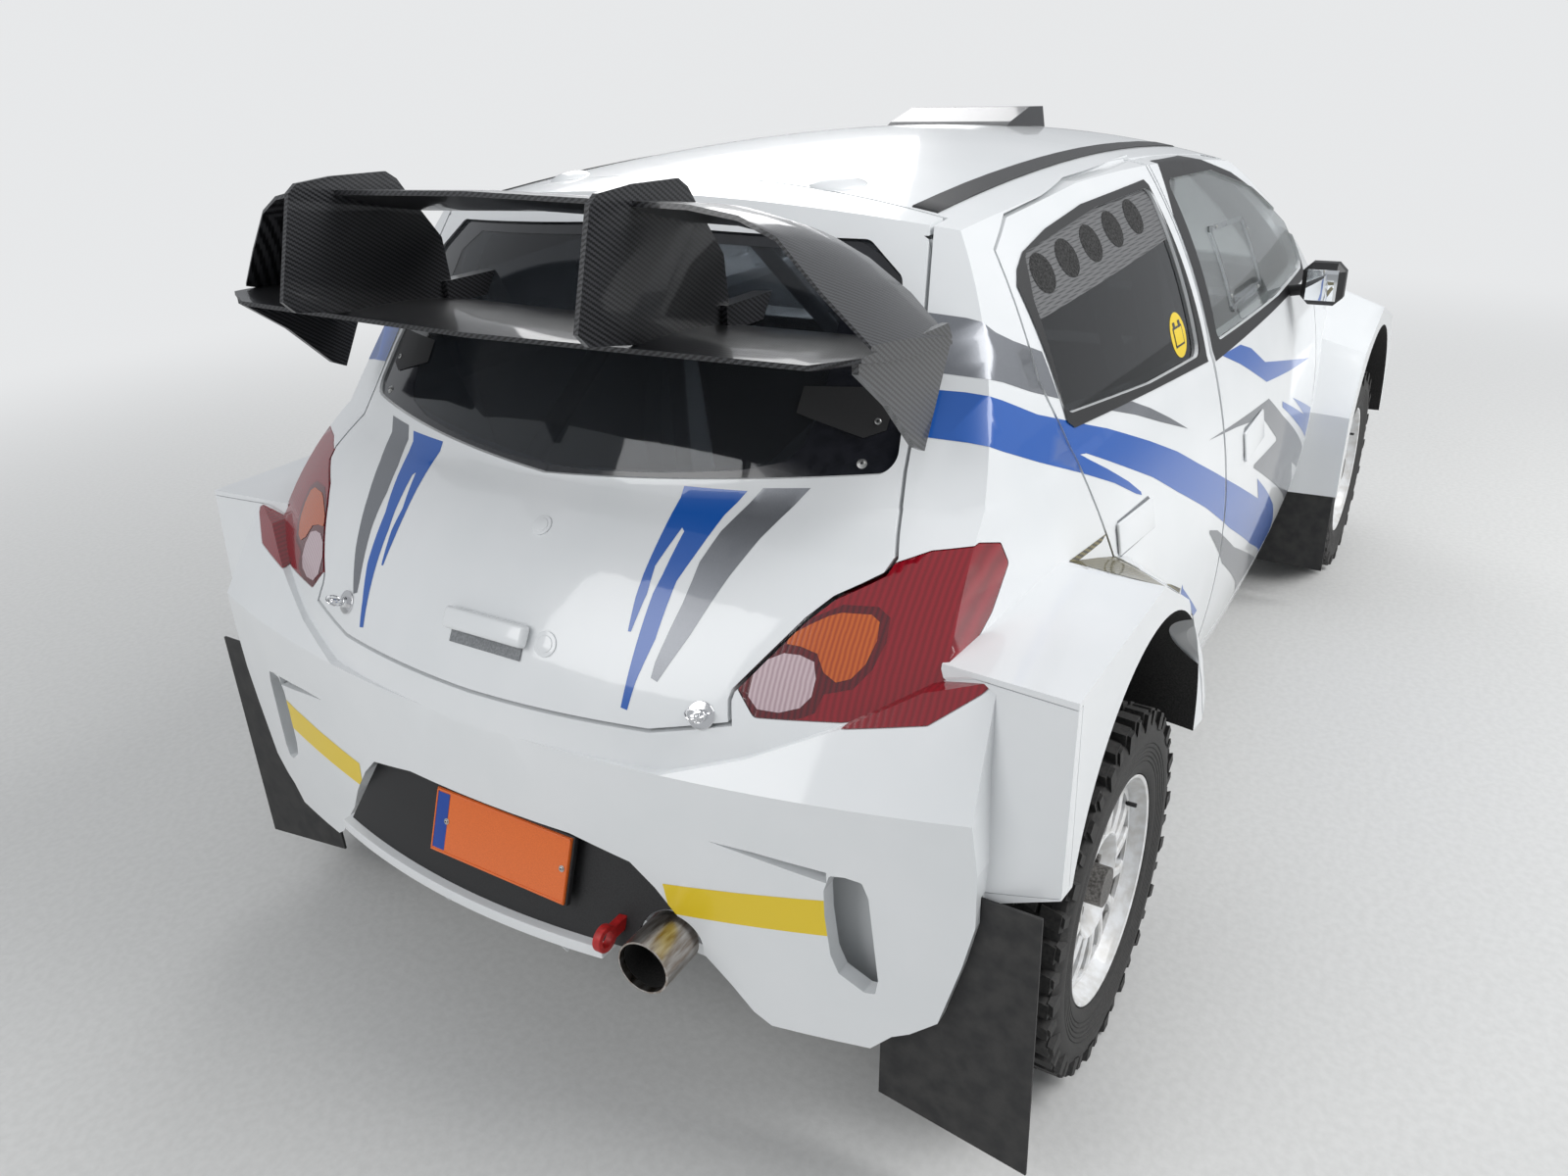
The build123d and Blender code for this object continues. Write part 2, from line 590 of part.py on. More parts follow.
lower_plane = wing_plane(LOWER_PLANE)
upper_plane = wing_plane(UPPER_PLANE)
WING_FIN = [
    (-217, 1300), (-225, 1400), (-284, 1479), (-300, 1502), (-320, 1515), (-424, 1518), (-488, 1514),
    (-505, 1502), (-552, 1351), (-533, 1332), (-300, 1290)]
FIN_Y = 290
FIN_THICKNESS = 8
fin = side_prism([(ahead(x), z) for x, z in WING_FIN], FIN_Y - FIN_THICKNESS / 2, FIN_Y + FIN_THICKNESS / 2)
END_PLATE = [(-150, 1312), (-137, 1290), (-222, 1147), (-250, 1160), (-330, 1240), (-410, 1300), (-410, 1318)]
PLATE_Y = 606
end_plate = side_prism([(ahead(x), z) for x, z in END_PLATE], PLATE_Y, PLATE_Y + 10)
wing = lower_plane + upper_plane
bracket = block(ahead(-240), ahead(-110), FIN_Y - 14, FIN_Y + 14, 1292, 1330) - tail_end(GLASS_SINK - SEAT_GAP)
for side in both(fin) + both(end_plate) + both(bracket):
    wing += side
parts["rear_wing"] = wing

# Roof scoop
SCOOP = [(1120, 1506), (1396, 1482), (1410, 1500), (1390, 1552), (1300, 1556), (1180, 1530)]
scoop = side_prism([(ahead(x), z - 42) for x, z in SCOOP], -160, 160)
scoop_space = side_prism([(ahead(x), z - 50) for x, z in SCOOP], -146, 146) & block(
    ahead(1200), ahead(1500), -146, 146, 1400, 1600)
parts["roof_scoop"] = scoop - crowned_top(-SEAT_GAP) - scoop_space


# Tyre section from crown to bead. Columns: below the crown, inboard of the widest place
TYRE_SECTION = [(0, 30), (-17, 6), (-63, 0)]
BEAD_INSET = 18


def wheel_parts(axle_x, side):
    """Tyre and rim of one wheel. Side is 1 on the left and -1 on the right."""
    bead = RIM_RADIUS + SEAT_GAP
    half_section = [(TYRE_RADIUS + drop, TYRE_WIDTH / 2 - inset) for drop, inset in TYRE_SECTION]
    half_section += [(bead, TYRE_WIDTH / 2 - BEAD_INSET)]
    section = half_section + [(radius, -y) for radius, y in reversed(half_section)]
    tyre_face = flat_outline(section)
    tyre = revolve(tyre_face, Axis.Y)
    barrel = Cylinder(RIM_RADIUS, RIM_WIDTH) - Cylinder(RIM_RADIUS - RIM_WALL, RIM_WIDTH)
    face_y = RIM_WIDTH / 2 - RIM_FACE_SINK
    disc = Pos(0, 0, face_y) * Cylinder(RIM_RADIUS - RIM_WALL / 2, RIM_FACE_THICKNESS)
    slot = Pos(138, 0, face_y) * Box(84, 24, 60)
    for turn in range(RIM_SLOTS):
        disc -= Rot(0, 0, 360 * turn / RIM_SLOTS) * slot
    hub = Pos(0, 0, face_y - 30) * Cylinder(HUB_RADIUS, 76)
    rotor = Pos(0, 0, -18) * Cylinder(DISC_RADIUS, DISC_THICKNESS)
    neck = Pos(0, 0, 10) * Cylinder(HUB_RADIUS - 6, 60)
    rim = barrel + disc + hub + neck + rotor
    rim -= Pos(0, 0, 0) * Cylinder(HUB_BORE, 400)
    rim = Rot(-90, 0, 0) * rim
    if side < 0:
        rim = mirror(rim, about=Plane.XZ)
        tyre = mirror(tyre, about=Plane.XZ)
    place = Pos(axle_x, side * WHEEL_Y, TYRE_RADIUS)
    return place * tyre, place * rim


for end, axle_x in (("front", FRONT_AXLE_X), ("rear", REAR_AXLE_X)):
    for side_name, side in (("left", 1), ("right", -1)):
        tyre, rim = wheel_parts(axle_x, side)
        parts[f"{end}_{side_name}_tyre"] = tyre
        parts[f"{end}_{side_name}_rim"] = rim


KNUCKLE_TOP = TYRE_RADIUS + 110
KNUCKLE_FOOT = TYRE_RADIUS - 95
KNUCKLE_HALF = 42


def knuckle(axle_x):
    """Upright with a stub axle that runs in the hub's bore. Its inboard end is round about the kingpin."""
    inner_y = KINGPIN_Y - KNUCKLE_REACH
    body = block(axle_x - KNUCKLE_HALF, axle_x + KNUCKLE_HALF, inner_y, KINGPIN_Y + 25, KNUCKLE_FOOT, KNUCKLE_TOP)
    height = KNUCKLE_TOP - KNUCKLE_FOOT
    body &= Pos(axle_x, KINGPIN_Y, KNUCKLE_FOOT + height / 2) * Cylinder(KNUCKLE_REACH, height)
    return body + upright(axle_x, KINGPIN_Y, WHEEL_Y + 80, TYRE_RADIUS, HUB_BORE - SEAT_GAP)


for side_name, shape in zip(("left", "right"), both(knuckle(FRONT_AXLE_X))):
    parts[f"front_{side_name}_knuckle"] = shape
parts["rear_knuckles"] = both(knuckle(REAR_AXLE_X))

# Suspension: lower arms and struts, on plain cross members
ARM_RADIUS = 17
STRUT_RADIUS = 24
STRUT_LEAN = 30
SUBFRAME_Y = 300
SUBFRAME_Z = 210
SUBFRAME_HEIGHT = 48
suspension = []
for axle_x, arch_radius, arch_z in (
        (FRONT_AXLE_X, FRONT_ARCH_RADIUS, FRONT_ARCH_Z), (REAR_AXLE_X, REAR_ARCH_RADIUS, REAR_ARCH_Z)):
    foot = (axle_x, STRUT_Y + 10, KNUCKLE_FOOT)
    arm = rod((axle_x - 150, SUBFRAME_Y - 5, 232), foot, ARM_RADIUS)
    arm += rod((axle_x + 150, SUBFRAME_Y - 5, 232), foot, ARM_RADIUS)
    arm += Pos(*foot) * Sphere(ARM_RADIUS + 6)
    arm -= block(axle_x - 200, axle_x + 200, 0, REACH, KNUCKLE_FOOT - SEAT_GAP, 600)
    ceiling = arch_tunnel(axle_x, arch_radius - SEAT_GAP, arch_z, ARCH_INNER_Y, REACH)
    strut = rod((axle_x, STRUT_Y + 4, KNUCKLE_TOP - 40), (axle_x, STRUT_Y - STRUT_LEAN, 900), STRUT_RADIUS) & ceiling
    strut -= block(axle_x - 200, axle_x + 200, 0, REACH, 0, KNUCKLE_TOP + SEAT_GAP)
    frame = block(axle_x - 180, axle_x + 180, -SUBFRAME_Y, SUBFRAME_Y, SUBFRAME_Z, SUBFRAME_Z + SUBFRAME_HEIGHT)
    left, right = both(arm)
    suspension += both(strut) + [frame + left + right]
parts["suspension"] = suspension
SHAFT_RADIUS = 16
ENGINE_Y = 260
DIFF_Y = 130
shaft_end = KINGPIN_Y - KNUCKLE_REACH - MOVING_GAP
parts["drive_shafts"] = [
    shape
    for axle_x, start in ((FRONT_AXLE_X, ENGINE_Y), (REAR_AXLE_X, DIFF_Y))
    for shape in both(upright(axle_x, start + SEAT_GAP, shaft_end, TYRE_RADIUS, SHAFT_RADIUS))
]
parts["rear_differential"] = block(behind(90), ahead(90), -DIFF_Y, DIFF_Y, FLOOR_Z + FLOOR_THICKNESS, 400)

# Engine, as one plain block, and the guard under it
parts["engine_block"] = block(front(-200), front(260), -ENGINE_Y, ENGINE_Y, FLOOR_Z + FLOOR_THICKNESS, 780)
parts["under_guard"] = block(front(-250), front(560), -330, 330, 190, 198)

# Mud flaps behind each wheel. Columns: y, z
REAR_FLAP = [(648, 135), (652, 250), (720, 500), (800, 590), (900, 590), (900, 98)]
FRONT_FLAP = [(660, 120), (660, 400), (895, 400), (895, 116)]
flap_x = behind(434 - SEAT_GAP)
parts["mud_flaps"] = both(rear_prism(REAR_FLAP, flap_x, flap_x + FLAP_THICKNESS - 2 * SEAT_GAP))
flap_x = front(SEAT_GAP - FRONT_ARCH_RADIUS)
parts["mud_flaps"] += both(rear_prism(FRONT_FLAP, flap_x, flap_x + FLAP_THICKNESS))

# Exhaust
EXHAUST_RADIUS = 45
EXHAUST_WALL = 3
pipe = rod((behind(405), -345, 400), (behind(560), -349, 415), 28)
pipe += rod((behind(545), -349, 413), (behind(632), -355, 418), EXHAUST_RADIUS)
pipe -= rod((behind(562), -350, 414), (behind(700), -358, 421), EXHAUST_RADIUS - EXHAUST_WALL)
parts["exhaust"] = pipe
pipe_room = rod((behind(402), -345, 400), (behind(700), -359, 422), EXHAUST_RADIUS + 8)
parts["rear_panel"] -= pipe_room
parts["rear_bumper"] -= pipe_room
parts["rear_lip"] -= pipe_room

# Number plate, blank, on the panel
PLATE_WIDTH = 300
PLATE_HEIGHT = 110
lean = math.degrees(math.atan2(PANEL_TOP[0] - PANEL_FOOT[0], PANEL_TOP[1] - PANEL_FOOT[1]))
plate_place = Pos(ahead(-588), -30, 500) * Rot(0, lean, 0)
parts["number_plate"] = plate_place * Box(4, PLATE_WIDTH, PLATE_HEIGHT)

# Seats
for_seats = []
for y in (340, -340):
    base = block(ahead(920), ahead(1420), y - 230, y + 230, FLOOR_Z + FLOOR_THICKNESS, 470)
    back = side_prism([(ahead(920), 400), (ahead(1050), 400), (ahead(930), 1060), (ahead(830), 1060)], y - 230, y + 230)
    for_seats.append(base + back - block(ahead(1030), ahead(1440), y - 180, y + 180, 400, 900))
parts["seats"] = for_seats

# Dashboard and steering
parts["dashboard"] = side_prism(
    [(ahead(1720), 860), (ahead(1900), 760), (ahead(2090), 760), (ahead(2090), 960), (ahead(1800), 990)], -620, 620)
STEERING_RADIUS = 160
GRIP_RADIUS = 15
wheel_centre = (ahead(1560), 340, 900)
wheel_plane = Plane(origin=wheel_centre, x_dir=(0, 1, 0), z_dir=(-1, 0, 0.35))
grip = Plane.XZ * (Pos(STEERING_RADIUS, 0) * RegularPolygon(GRIP_RADIUS, 8))
ring = wheel_plane * revolve(grip, Axis.Z)
spoke = wheel_plane * Box(2 * STEERING_RADIUS - 10, 30, 10) + wheel_plane * Cylinder(40, 30)
parts["steering_wheel"] = ring + spoke
column = wheel_plane * Pos(0, 0, -15 - SEAT_GAP) * Cylinder(26, 380, align=(Align.CENTER, Align.CENTER, Align.MAX))
parts["dashboard"] += column

# Roll cage
TUBE = 22
HOOP_X = ahead(780)
HOOP_FOOT_Z = FLOOR_Z + FLOOR_THICKNESS
HOOP = [(590, HOOP_FOOT_Z), (590, 1000), (460, 1380), (-460, 1380), (-590, 1000), (-590, HOOP_FOOT_Z)]
STAY_FOOT = (behind(120), 440, 760)
main = rod((HOOP_X, *HOOP[0]), (HOOP_X, *HOOP[1]), TUBE)
for (start_y, start_z), (end_y, end_z) in zip(HOOP[1:-1], HOOP[2:]):
    main += Pos(HOOP_X, start_y, start_z) * Sphere(TUBE)
    main += rod((HOOP_X, start_y, start_z), (HOOP_X, end_y, end_z), TUBE)
shoulder_y, shoulder_z = HOOP[2]
for side in (1, -1):
    foot_x, foot_y, foot_z = STAY_FOOT
    main += rod((HOOP_X, side * shoulder_y, shoulder_z), (foot_x, side * foot_y, foot_z), TUBE)
    main += rod((HOOP_X, side * 590, 400), (HOOP_X, -side * shoulder_y, shoulder_z), TUBE - 3)
parts["roll_cage"] = main

# Door mirrors
MIRROR_SIZE = (70, 100, 105)
mirror_body = Pos(ahead(1620), 840, 1075) * chamfer(Box(*MIRROR_SIZE).edges(), 20)
mirror_arm = rod((ahead(1650), 700, 1036), (ahead(1625), 835, 1062), 14)
door_skin = curved_sides(-SEAT_GAP, -SEAT_GAP)
for side_name, shape in zip(("left", "right"), both(mirror_body + mirror_arm - door_skin)):
    parts[f"{side_name}_mirror"] = shape

# Tow eyes, one in the front intake and one beside the exhaust
EYE_RADIUS = 22
EYE_BORE = 12
EYE_THICKNESS = 14
FRONT_EYE = (front(FRONT_OVERHANG - EYE_RADIUS), 300, 440)
REAR_EYE = (behind(REAR_OVERHANG - EYE_RADIUS), -270, 428)


def tow_eye(place, shank_from, shank_to):
    """A ring across the car on a flat shank along X."""
    x, y, z = place
    half = EYE_THICKNESS / 2
    ring = upright(x, y - half, y + half, z, EYE_RADIUS)
    ring += block(shank_from, shank_to, y - half, y + half, z - 11, z + 11)
    return ring - upright(x, y - half - 1, y + half + 1, z, EYE_BORE)


parts["tow_eyes"] = [
    tow_eye(FRONT_EYE, front(664.8), FRONT_EYE[0] - EYE_BORE + 2),
    tow_eye(REAR_EYE, REAR_EYE[0] + EYE_BORE - 2, behind(400 + SEAT_GAP)),
]
slot = Pos(behind(500), REAR_EYE[1], REAR_EYE[2])
parts["rear_panel"] -= slot * Box(260, EYE_THICKNESS + 1, 24)
parts["rear_lip"] -= slot * Box(260, EYE_THICKNESS + 1, 70)

os.makedirs("parts", exist_ok=True)
for name, shape in parts.items():
    export_step(Compound(solids_of(shape)), f"parts/{name}.step")
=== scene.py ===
import bmesh
import bpy
import math
from mathutils import Matrix, Vector
from mathutils.bvhtree import BVHTree


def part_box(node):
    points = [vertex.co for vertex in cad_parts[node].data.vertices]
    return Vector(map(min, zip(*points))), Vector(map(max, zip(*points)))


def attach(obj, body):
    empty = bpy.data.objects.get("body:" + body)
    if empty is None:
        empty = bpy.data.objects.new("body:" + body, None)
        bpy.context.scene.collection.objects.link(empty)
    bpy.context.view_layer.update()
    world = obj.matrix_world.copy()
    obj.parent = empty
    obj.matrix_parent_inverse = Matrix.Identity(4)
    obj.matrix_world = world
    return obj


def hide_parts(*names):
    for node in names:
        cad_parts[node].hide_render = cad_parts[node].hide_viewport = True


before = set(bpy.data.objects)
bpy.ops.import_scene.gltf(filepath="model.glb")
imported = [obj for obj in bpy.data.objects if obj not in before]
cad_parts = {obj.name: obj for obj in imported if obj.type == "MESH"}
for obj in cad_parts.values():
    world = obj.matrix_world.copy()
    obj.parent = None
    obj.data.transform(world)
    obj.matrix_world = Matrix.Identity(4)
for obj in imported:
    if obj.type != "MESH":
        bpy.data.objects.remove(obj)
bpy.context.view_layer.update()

# The camera, held at head height behind the car's right rear corner and tilted down.
# The lens is that of a telephone, with its numbers worked out for a frame of 1600 by 1200.
yaw, pitch, roll = math.radians(33.01), math.radians(24.68), math.radians(-2.45)
ahead_of_lens = Vector((math.cos(pitch) * math.cos(yaw), math.cos(pitch) * math.sin(yaw), -math.sin(pitch)))
level_right = ahead_of_lens.cross(Vector((0, 0, 1))).normalized()
level_up = level_right.cross(ahead_of_lens)
lens_right = level_right * math.cos(roll) + level_up * math.sin(roll)
lens_up = level_up * math.cos(roll) - level_right * math.sin(roll)
lens = bpy.data.cameras.new("camera")
lens.sensor_width = 36
lens.lens = 26.99
camera = bpy.data.objects.new("camera", lens)
turn = Matrix((lens_right, lens_up, -ahead_of_lens)).transposed().to_4x4()
camera.matrix_world = Matrix.Translation((-2.9225, -1.302, 1.669)) @ turn
bpy.context.scene.collection.objects.link(camera)
bpy.context.scene.camera = camera

# The studio: a pale floor, a broad soft light over the right side, a weaker one behind and
# an even pale surround.
view = bpy.context.scene.view_settings
view.view_transform = "Standard"


def finish_of(name, colour, roughness, metallic=0.0, coat_weight=None, coat_roughness=None, sheen=None):
    """A new material with its shader, ready for texture, with a clear coat or sheen where given."""
    material = bpy.data.materials.new(name)
    material.use_nodes = True
    shader = material.node_tree.nodes["Principled BSDF"]
    shader.inputs["Base Color"].default_value = (*colour, 1)
    shader.inputs["Roughness"].default_value = roughness
    shader.inputs["Metallic"].default_value = metallic
    for socket, value in (
            ("Coat Weight", coat_weight), ("Coat Roughness", coat_roughness), ("Sheen Weight", sheen)):
        if value is not None:
            shader.inputs[socket].default_value = value
    return material, shader


def emboss(tree, height, shader, strength, distance):
    """Relief without geometry, led by a value."""
    bump = tree.nodes.new("ShaderNodeBump")
    bump.inputs["Strength"].default_value = strength
    bump.inputs["Distance"].default_value = distance
    tree.links.new(height, bump.inputs["Height"])
    tree.links.new(bump.outputs["Normal"], shader.inputs["Normal"])


def tone(tree, amount, shader, tones, stops=(0, 1)):
    """Colour that goes from one tone to another, led by a value."""
    ramp = tree.nodes.new("ShaderNodeValToRGB")
    for element, stop, colour in zip(ramp.color_ramp.elements, stops, tones):
        element.position = stop
        element.color = (*colour, 1)
    tree.links.new(amount, ramp.inputs["Fac"])
    tree.links.new(ramp.outputs["Color"], shader.inputs["Base Color"])


def grain(material, shader, scale, depth, detail=4.0, colours=None, roughness=None, stretch=(1, 1, 1)):
    """Noise in the object's own place: relief, and where given a change of colour and gloss."""
    tree = material.node_tree
    place = tree.nodes.new("ShaderNodeTexCoord")
    spread = tree.nodes.new("ShaderNodeMapping")
    spread.inputs["Scale"].default_value = stretch
    tree.links.new(place.outputs["Object"], spread.inputs["Vector"])
    noise = tree.nodes.new("ShaderNodeTexNoise")
    noise.inputs["Scale"].default_value = scale
    noise.inputs["Detail"].default_value = detail
    tree.links.new(spread.outputs["Vector"], noise.inputs["Vector"])
    if depth:
        emboss(tree, noise.outputs["Fac"], shader, 0.6, depth)
    if colours:
        tone(tree, noise.outputs["Fac"], shader, colours, (0.35, 0.65))
    if roughness:
        gloss = tree.nodes.new("ShaderNodeMapRange")
        gloss.inputs["To Min"].default_value = roughness[0]
        gloss.inputs["To Max"].default_value = roughness[1]
        tree.links.new(noise.outputs["Fac"], gloss.inputs["Value"])
        tree.links.new(gloss.outputs["Result"], shader.inputs["Roughness"])


def textured(name, colour, roughness, metallic=0.0, texture=(), **finish):
    """A material with the grain already in it."""
    material, shader = finish_of(name, colour, roughness, metallic, **finish)
    grain(material, shader, *texture)
    return material


floor_mesh = bpy.data.meshes.new("floor")
floor_mesh.from_pydata([(-60, -60, 0), (60, -60, 0), (60, 60, 0), (-60, 60, 0)], [], [(0, 1, 2, 3)])
floor = bpy.data.objects.new("floor", floor_mesh)
floor_finish, floor_shader = finish_of("floor", (0.62, 0.62, 0.61), 0.75)
grain(floor_finish, floor_shader, 60, 0.001, colours=((0.60, 0.60, 0.59), (0.64, 0.64, 0.63)))
floor.data.materials.append(floor_finish)
bpy.context.scene.collection.objects.link(floor)


def seen_only(tree, lit, pale, shown, target):
    """What the camera sees there is a plain pale tone, while the lighting stays as it is."""
    path = tree.nodes.new("ShaderNodeLightPath")
    on_material = target.type == "OUTPUT_MATERIAL"
    plain = tree.nodes.new("ShaderNodeEmission" if on_material else "ShaderNodeBackground")
    plain.inputs["Color"].default_value = (*pale, 1)
    plain.inputs["Strength"].default_value = 1
    mixed = tree.nodes.new("ShaderNodeMixShader")
    amount = path.outputs["Is Camera Ray"]
    if shown:
        scaled = tree.nodes.new("ShaderNodeMath")
        scaled.operation = "MULTIPLY"
        tree.links.new(amount, scaled.inputs[0])
        tree.links.new(shown, scaled.inputs[1])
        amount = scaled.outputs["Value"]
    tree.links.new(amount, mixed.inputs["Fac"])
    tree.links.new(lit, mixed.inputs[1])
    tree.links.new(plain.outputs[0], mixed.inputs[2])
    tree.links.new(mixed.outputs[0], target.inputs["Surface"])


backdrop_tone = (0.80, 0.81, 0.82)
floor_tree = floor_finish.node_tree
floor_place = floor_tree.nodes.new("ShaderNodeTexCoord")
floor_reach = floor_tree.nodes.new("ShaderNodeVectorMath")
floor_reach.operation = "LENGTH"
floor_tree.links.new(floor_place.outputs["Object"], floor_reach.inputs[0])
floor_fade = floor_tree.nodes.new("ShaderNodeMapRange")
floor_fade.interpolation_type = "SMOOTHSTEP"
floor_fade.inputs["From Min"].default_value = 2.6
floor_fade.inputs["From Max"].default_value = 7.0
floor_tree.links.new(floor_reach.outputs["Value"], floor_fade.inputs["Value"])
seen_only(
    floor_tree, floor_shader.outputs["BSDF"], backdrop_tone, floor_fade.outputs["Result"],
    floor_tree.nodes["Material Output"])

surround = bpy.data.worlds.new("surround")
surround.use_nodes = True
sky = surround.node_tree.nodes["Background"]
sky.inputs["Color"].default_value = (0.93, 0.96, 1, 1)
sky.inputs["Strength"].default_value = 0.50
seen_only(
    surround.node_tree, sky.outputs["Background"], backdrop_tone, None,
    surround.node_tree.nodes["World Output"])
bpy.context.scene.world = surround
for name, place, target, size, power in (
        ("right_light", (1.2, -5.2, 5.4), (-0.4, -0.2, 0.6), 4.0, 400),
        ("rear_light", (-6.5, 1.5, 4.2), (-1.2, 0, 0.8), 3.5, 130),
        ("front_light", (5.5, 4.5, 4.5), (0.6, 0, 0.7), 4.0, 160)):
    light = bpy.data.lights.new(name, "AREA")
    light.size = size
    light.energy = power
    lamp = bpy.data.objects.new(name, light)
    aim = Vector(target) - Vector(place)
    lamp.matrix_world = Matrix.Translation(place) @ aim.to_track_quat("-Z", "Y").to_matrix().to_4x4()
    bpy.context.scene.collection.objects.link(lamp)

# Body paint: white over the panels, the doors and the tailgate, under a clear coat. Shut
# edges are rounded by about a millimetre, as pressed and moulded panels are.
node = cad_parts
smooth_turn = math.radians(32)


def coat(names, material):
    for name in names:
        node[name].data.materials.clear()
        node[name].data.materials.append(material)


def round_edges(names, width, segments=2):
    for name in names:
        merge = node[name].modifiers.new("merge", "WELD")
        merge.merge_threshold = 0.00002
        bevel = node[name].modifiers.new("rounding", "BEVEL")
        bevel.width = width
        bevel.segments = segments
        bevel.limit_method = "ANGLE"
        bevel.angle_limit = smooth_turn
        bevel.use_clamp_overlap = True
        weights = node[name].modifiers.new("normals", "WEIGHTED_NORMAL")
        weights.keep_sharp = True


white = textured(
    "white_paint", (0.77, 0.79, 0.80), 0.34, coat_weight=0.85, coat_roughness=0.06,
    texture=(5, 0, 3, ((0.76, 0.78, 0.79), (0.79, 0.805, 0.815)), (0.30, 0.40)))
white_panels = [
    "body_shell", "bonnet", "front_fenders", "front_bumper", "rear_bumper", "tailgate", "rear_lip",
    "front_left_door", "front_right_door", "rear_left_door", "rear_right_door"]
coat(white_panels, white)
round_edges(white_panels, 0.0016)

# Stripes: royal blue and metallic grey film, cut sharp and laid over the paint of the
# sides and the tailgate. They end at every shut line, and each piece rides on its panel.


def soft_face(mesh, material):
    mesh.materials.clear()
    mesh.materials.append(material)
    for face in mesh.polygons:
        face.use_smooth = True
    mesh.set_sharp_from_angle(angle=smooth_turn)


def shape(name, mesh, material, body=None):
    """A new piece from a mesh, set down in the scene on its body."""
    soft_face(mesh, material)
    piece = bpy.data.objects.new(name, mesh)
    bpy.context.scene.collection.objects.link(piece)
    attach(piece, body or "car_body")
    return piece


def prism_mesh(outline, across, near, far):
    """A closed prism over an outline. Across 'y' takes x, z and across 'x' takes y, z."""
    corners = []
    for depth in (near, far):
        for along, height in outline:
            corners.append((along, depth, height) if across == "y" else (depth, along, height))
    count = len(outline)
    faces = [tuple(range(count)), tuple(reversed(range(count, 2 * count)))]
    for index in range(count):
        after = (index + 1) % count
        faces.append((after, index, index + count, after + count))
    mesh = bpy.data.meshes.new("prism")
    mesh.from_pydata(corners, [], faces)
    solid = bmesh.new()
    solid.from_mesh(mesh)
    bmesh.ops.recalc_face_normals(solid, faces=solid.faces)
    solid.to_mesh(mesh)
    solid.free()
    return mesh


def film_mesh(part, outline, across, near, far, lift, least=0.12):
    """The part of a CAD piece's outer skin that lies in a prism, lifted a little."""
    base = bmesh.new()
    base.from_mesh(node[part].data)
    bmesh.ops.remove_doubles(base, verts=base.verts, dist=0.00002)
    skin = bpy.data.meshes.new("skin")
    base.to_mesh(skin)
    tree = BVHTree.FromBMesh(base)
    base.free()
    carrier = bpy.data.objects.new("carrier", skin)
    tool = bpy.data.objects.new("tool", prism_mesh(outline, across, near, far))
    for item in (carrier, tool):
        bpy.context.scene.collection.objects.link(item)
    cut = carrier.modifiers.new("cut", "BOOLEAN")
    cut.operation = "INTERSECT"
    cut.solver = "EXACT"
    cut.object = tool
    depsgraph = bpy.context.evaluated_depsgraph_get()
    result = bpy.data.meshes.new_from_object(carrier.evaluated_get(depsgraph))
    for item in (carrier, tool):
        bpy.data.objects.remove(item)
    outward = Vector((0, math.copysign(1, far - near), 0)) if across == "y" else Vector((-1, 0, 0))
    film = bmesh.new()
    film.from_mesh(result)
    inner = []
    for face in film.faces:
        centre = face.calc_center_median()
        seen = tree.ray_cast(centre + outward * 0.003, outward)[0] is None
        on_skin = (tree.find_nearest(centre)[3] or 0) < 0.0004
        turned = tree.find_nearest(centre)[1].dot(outward) if on_skin else -1
        under = least < 0 and face.normal.z < 0.2
        if not seen or under or face.normal.dot(outward) < least or turned < least - 0.02:
            inner.append(face)
    bmesh.ops.delete(film, geom=inner, context="FACES")
    film.normal_update()
    for vertex in film.verts:
        vertex.co += vertex.normal * lift
    film.to_mesh(result)
    film.free()
    return result


def lay_film(name, parts, outline, across, material, lift=0.0004, least=0.12):
    """The same film on several CAD pieces and on both sides of the car."""
    for side in (1, -1):
        for part, body in parts:
            part_name = part if side < 0 else part.replace("right", "left")
            body_name = body if side < 0 else body.replace("right", "left")
            if across == "y":
                mesh = film_mesh(part_name, outline, "y", side * 0.35, side * 1.1, lift, least)
            else:
                flipped = [(side * along, height) for along, height in outline]
                mesh = film_mesh(part_name, flipped, "x", -1.3, -2.2, lift, least)
            if mesh.polygons:
                where = "left" if side > 0 else "right"
                shape(f"{name}_{part_name}_{where}", mesh, material, body_name)


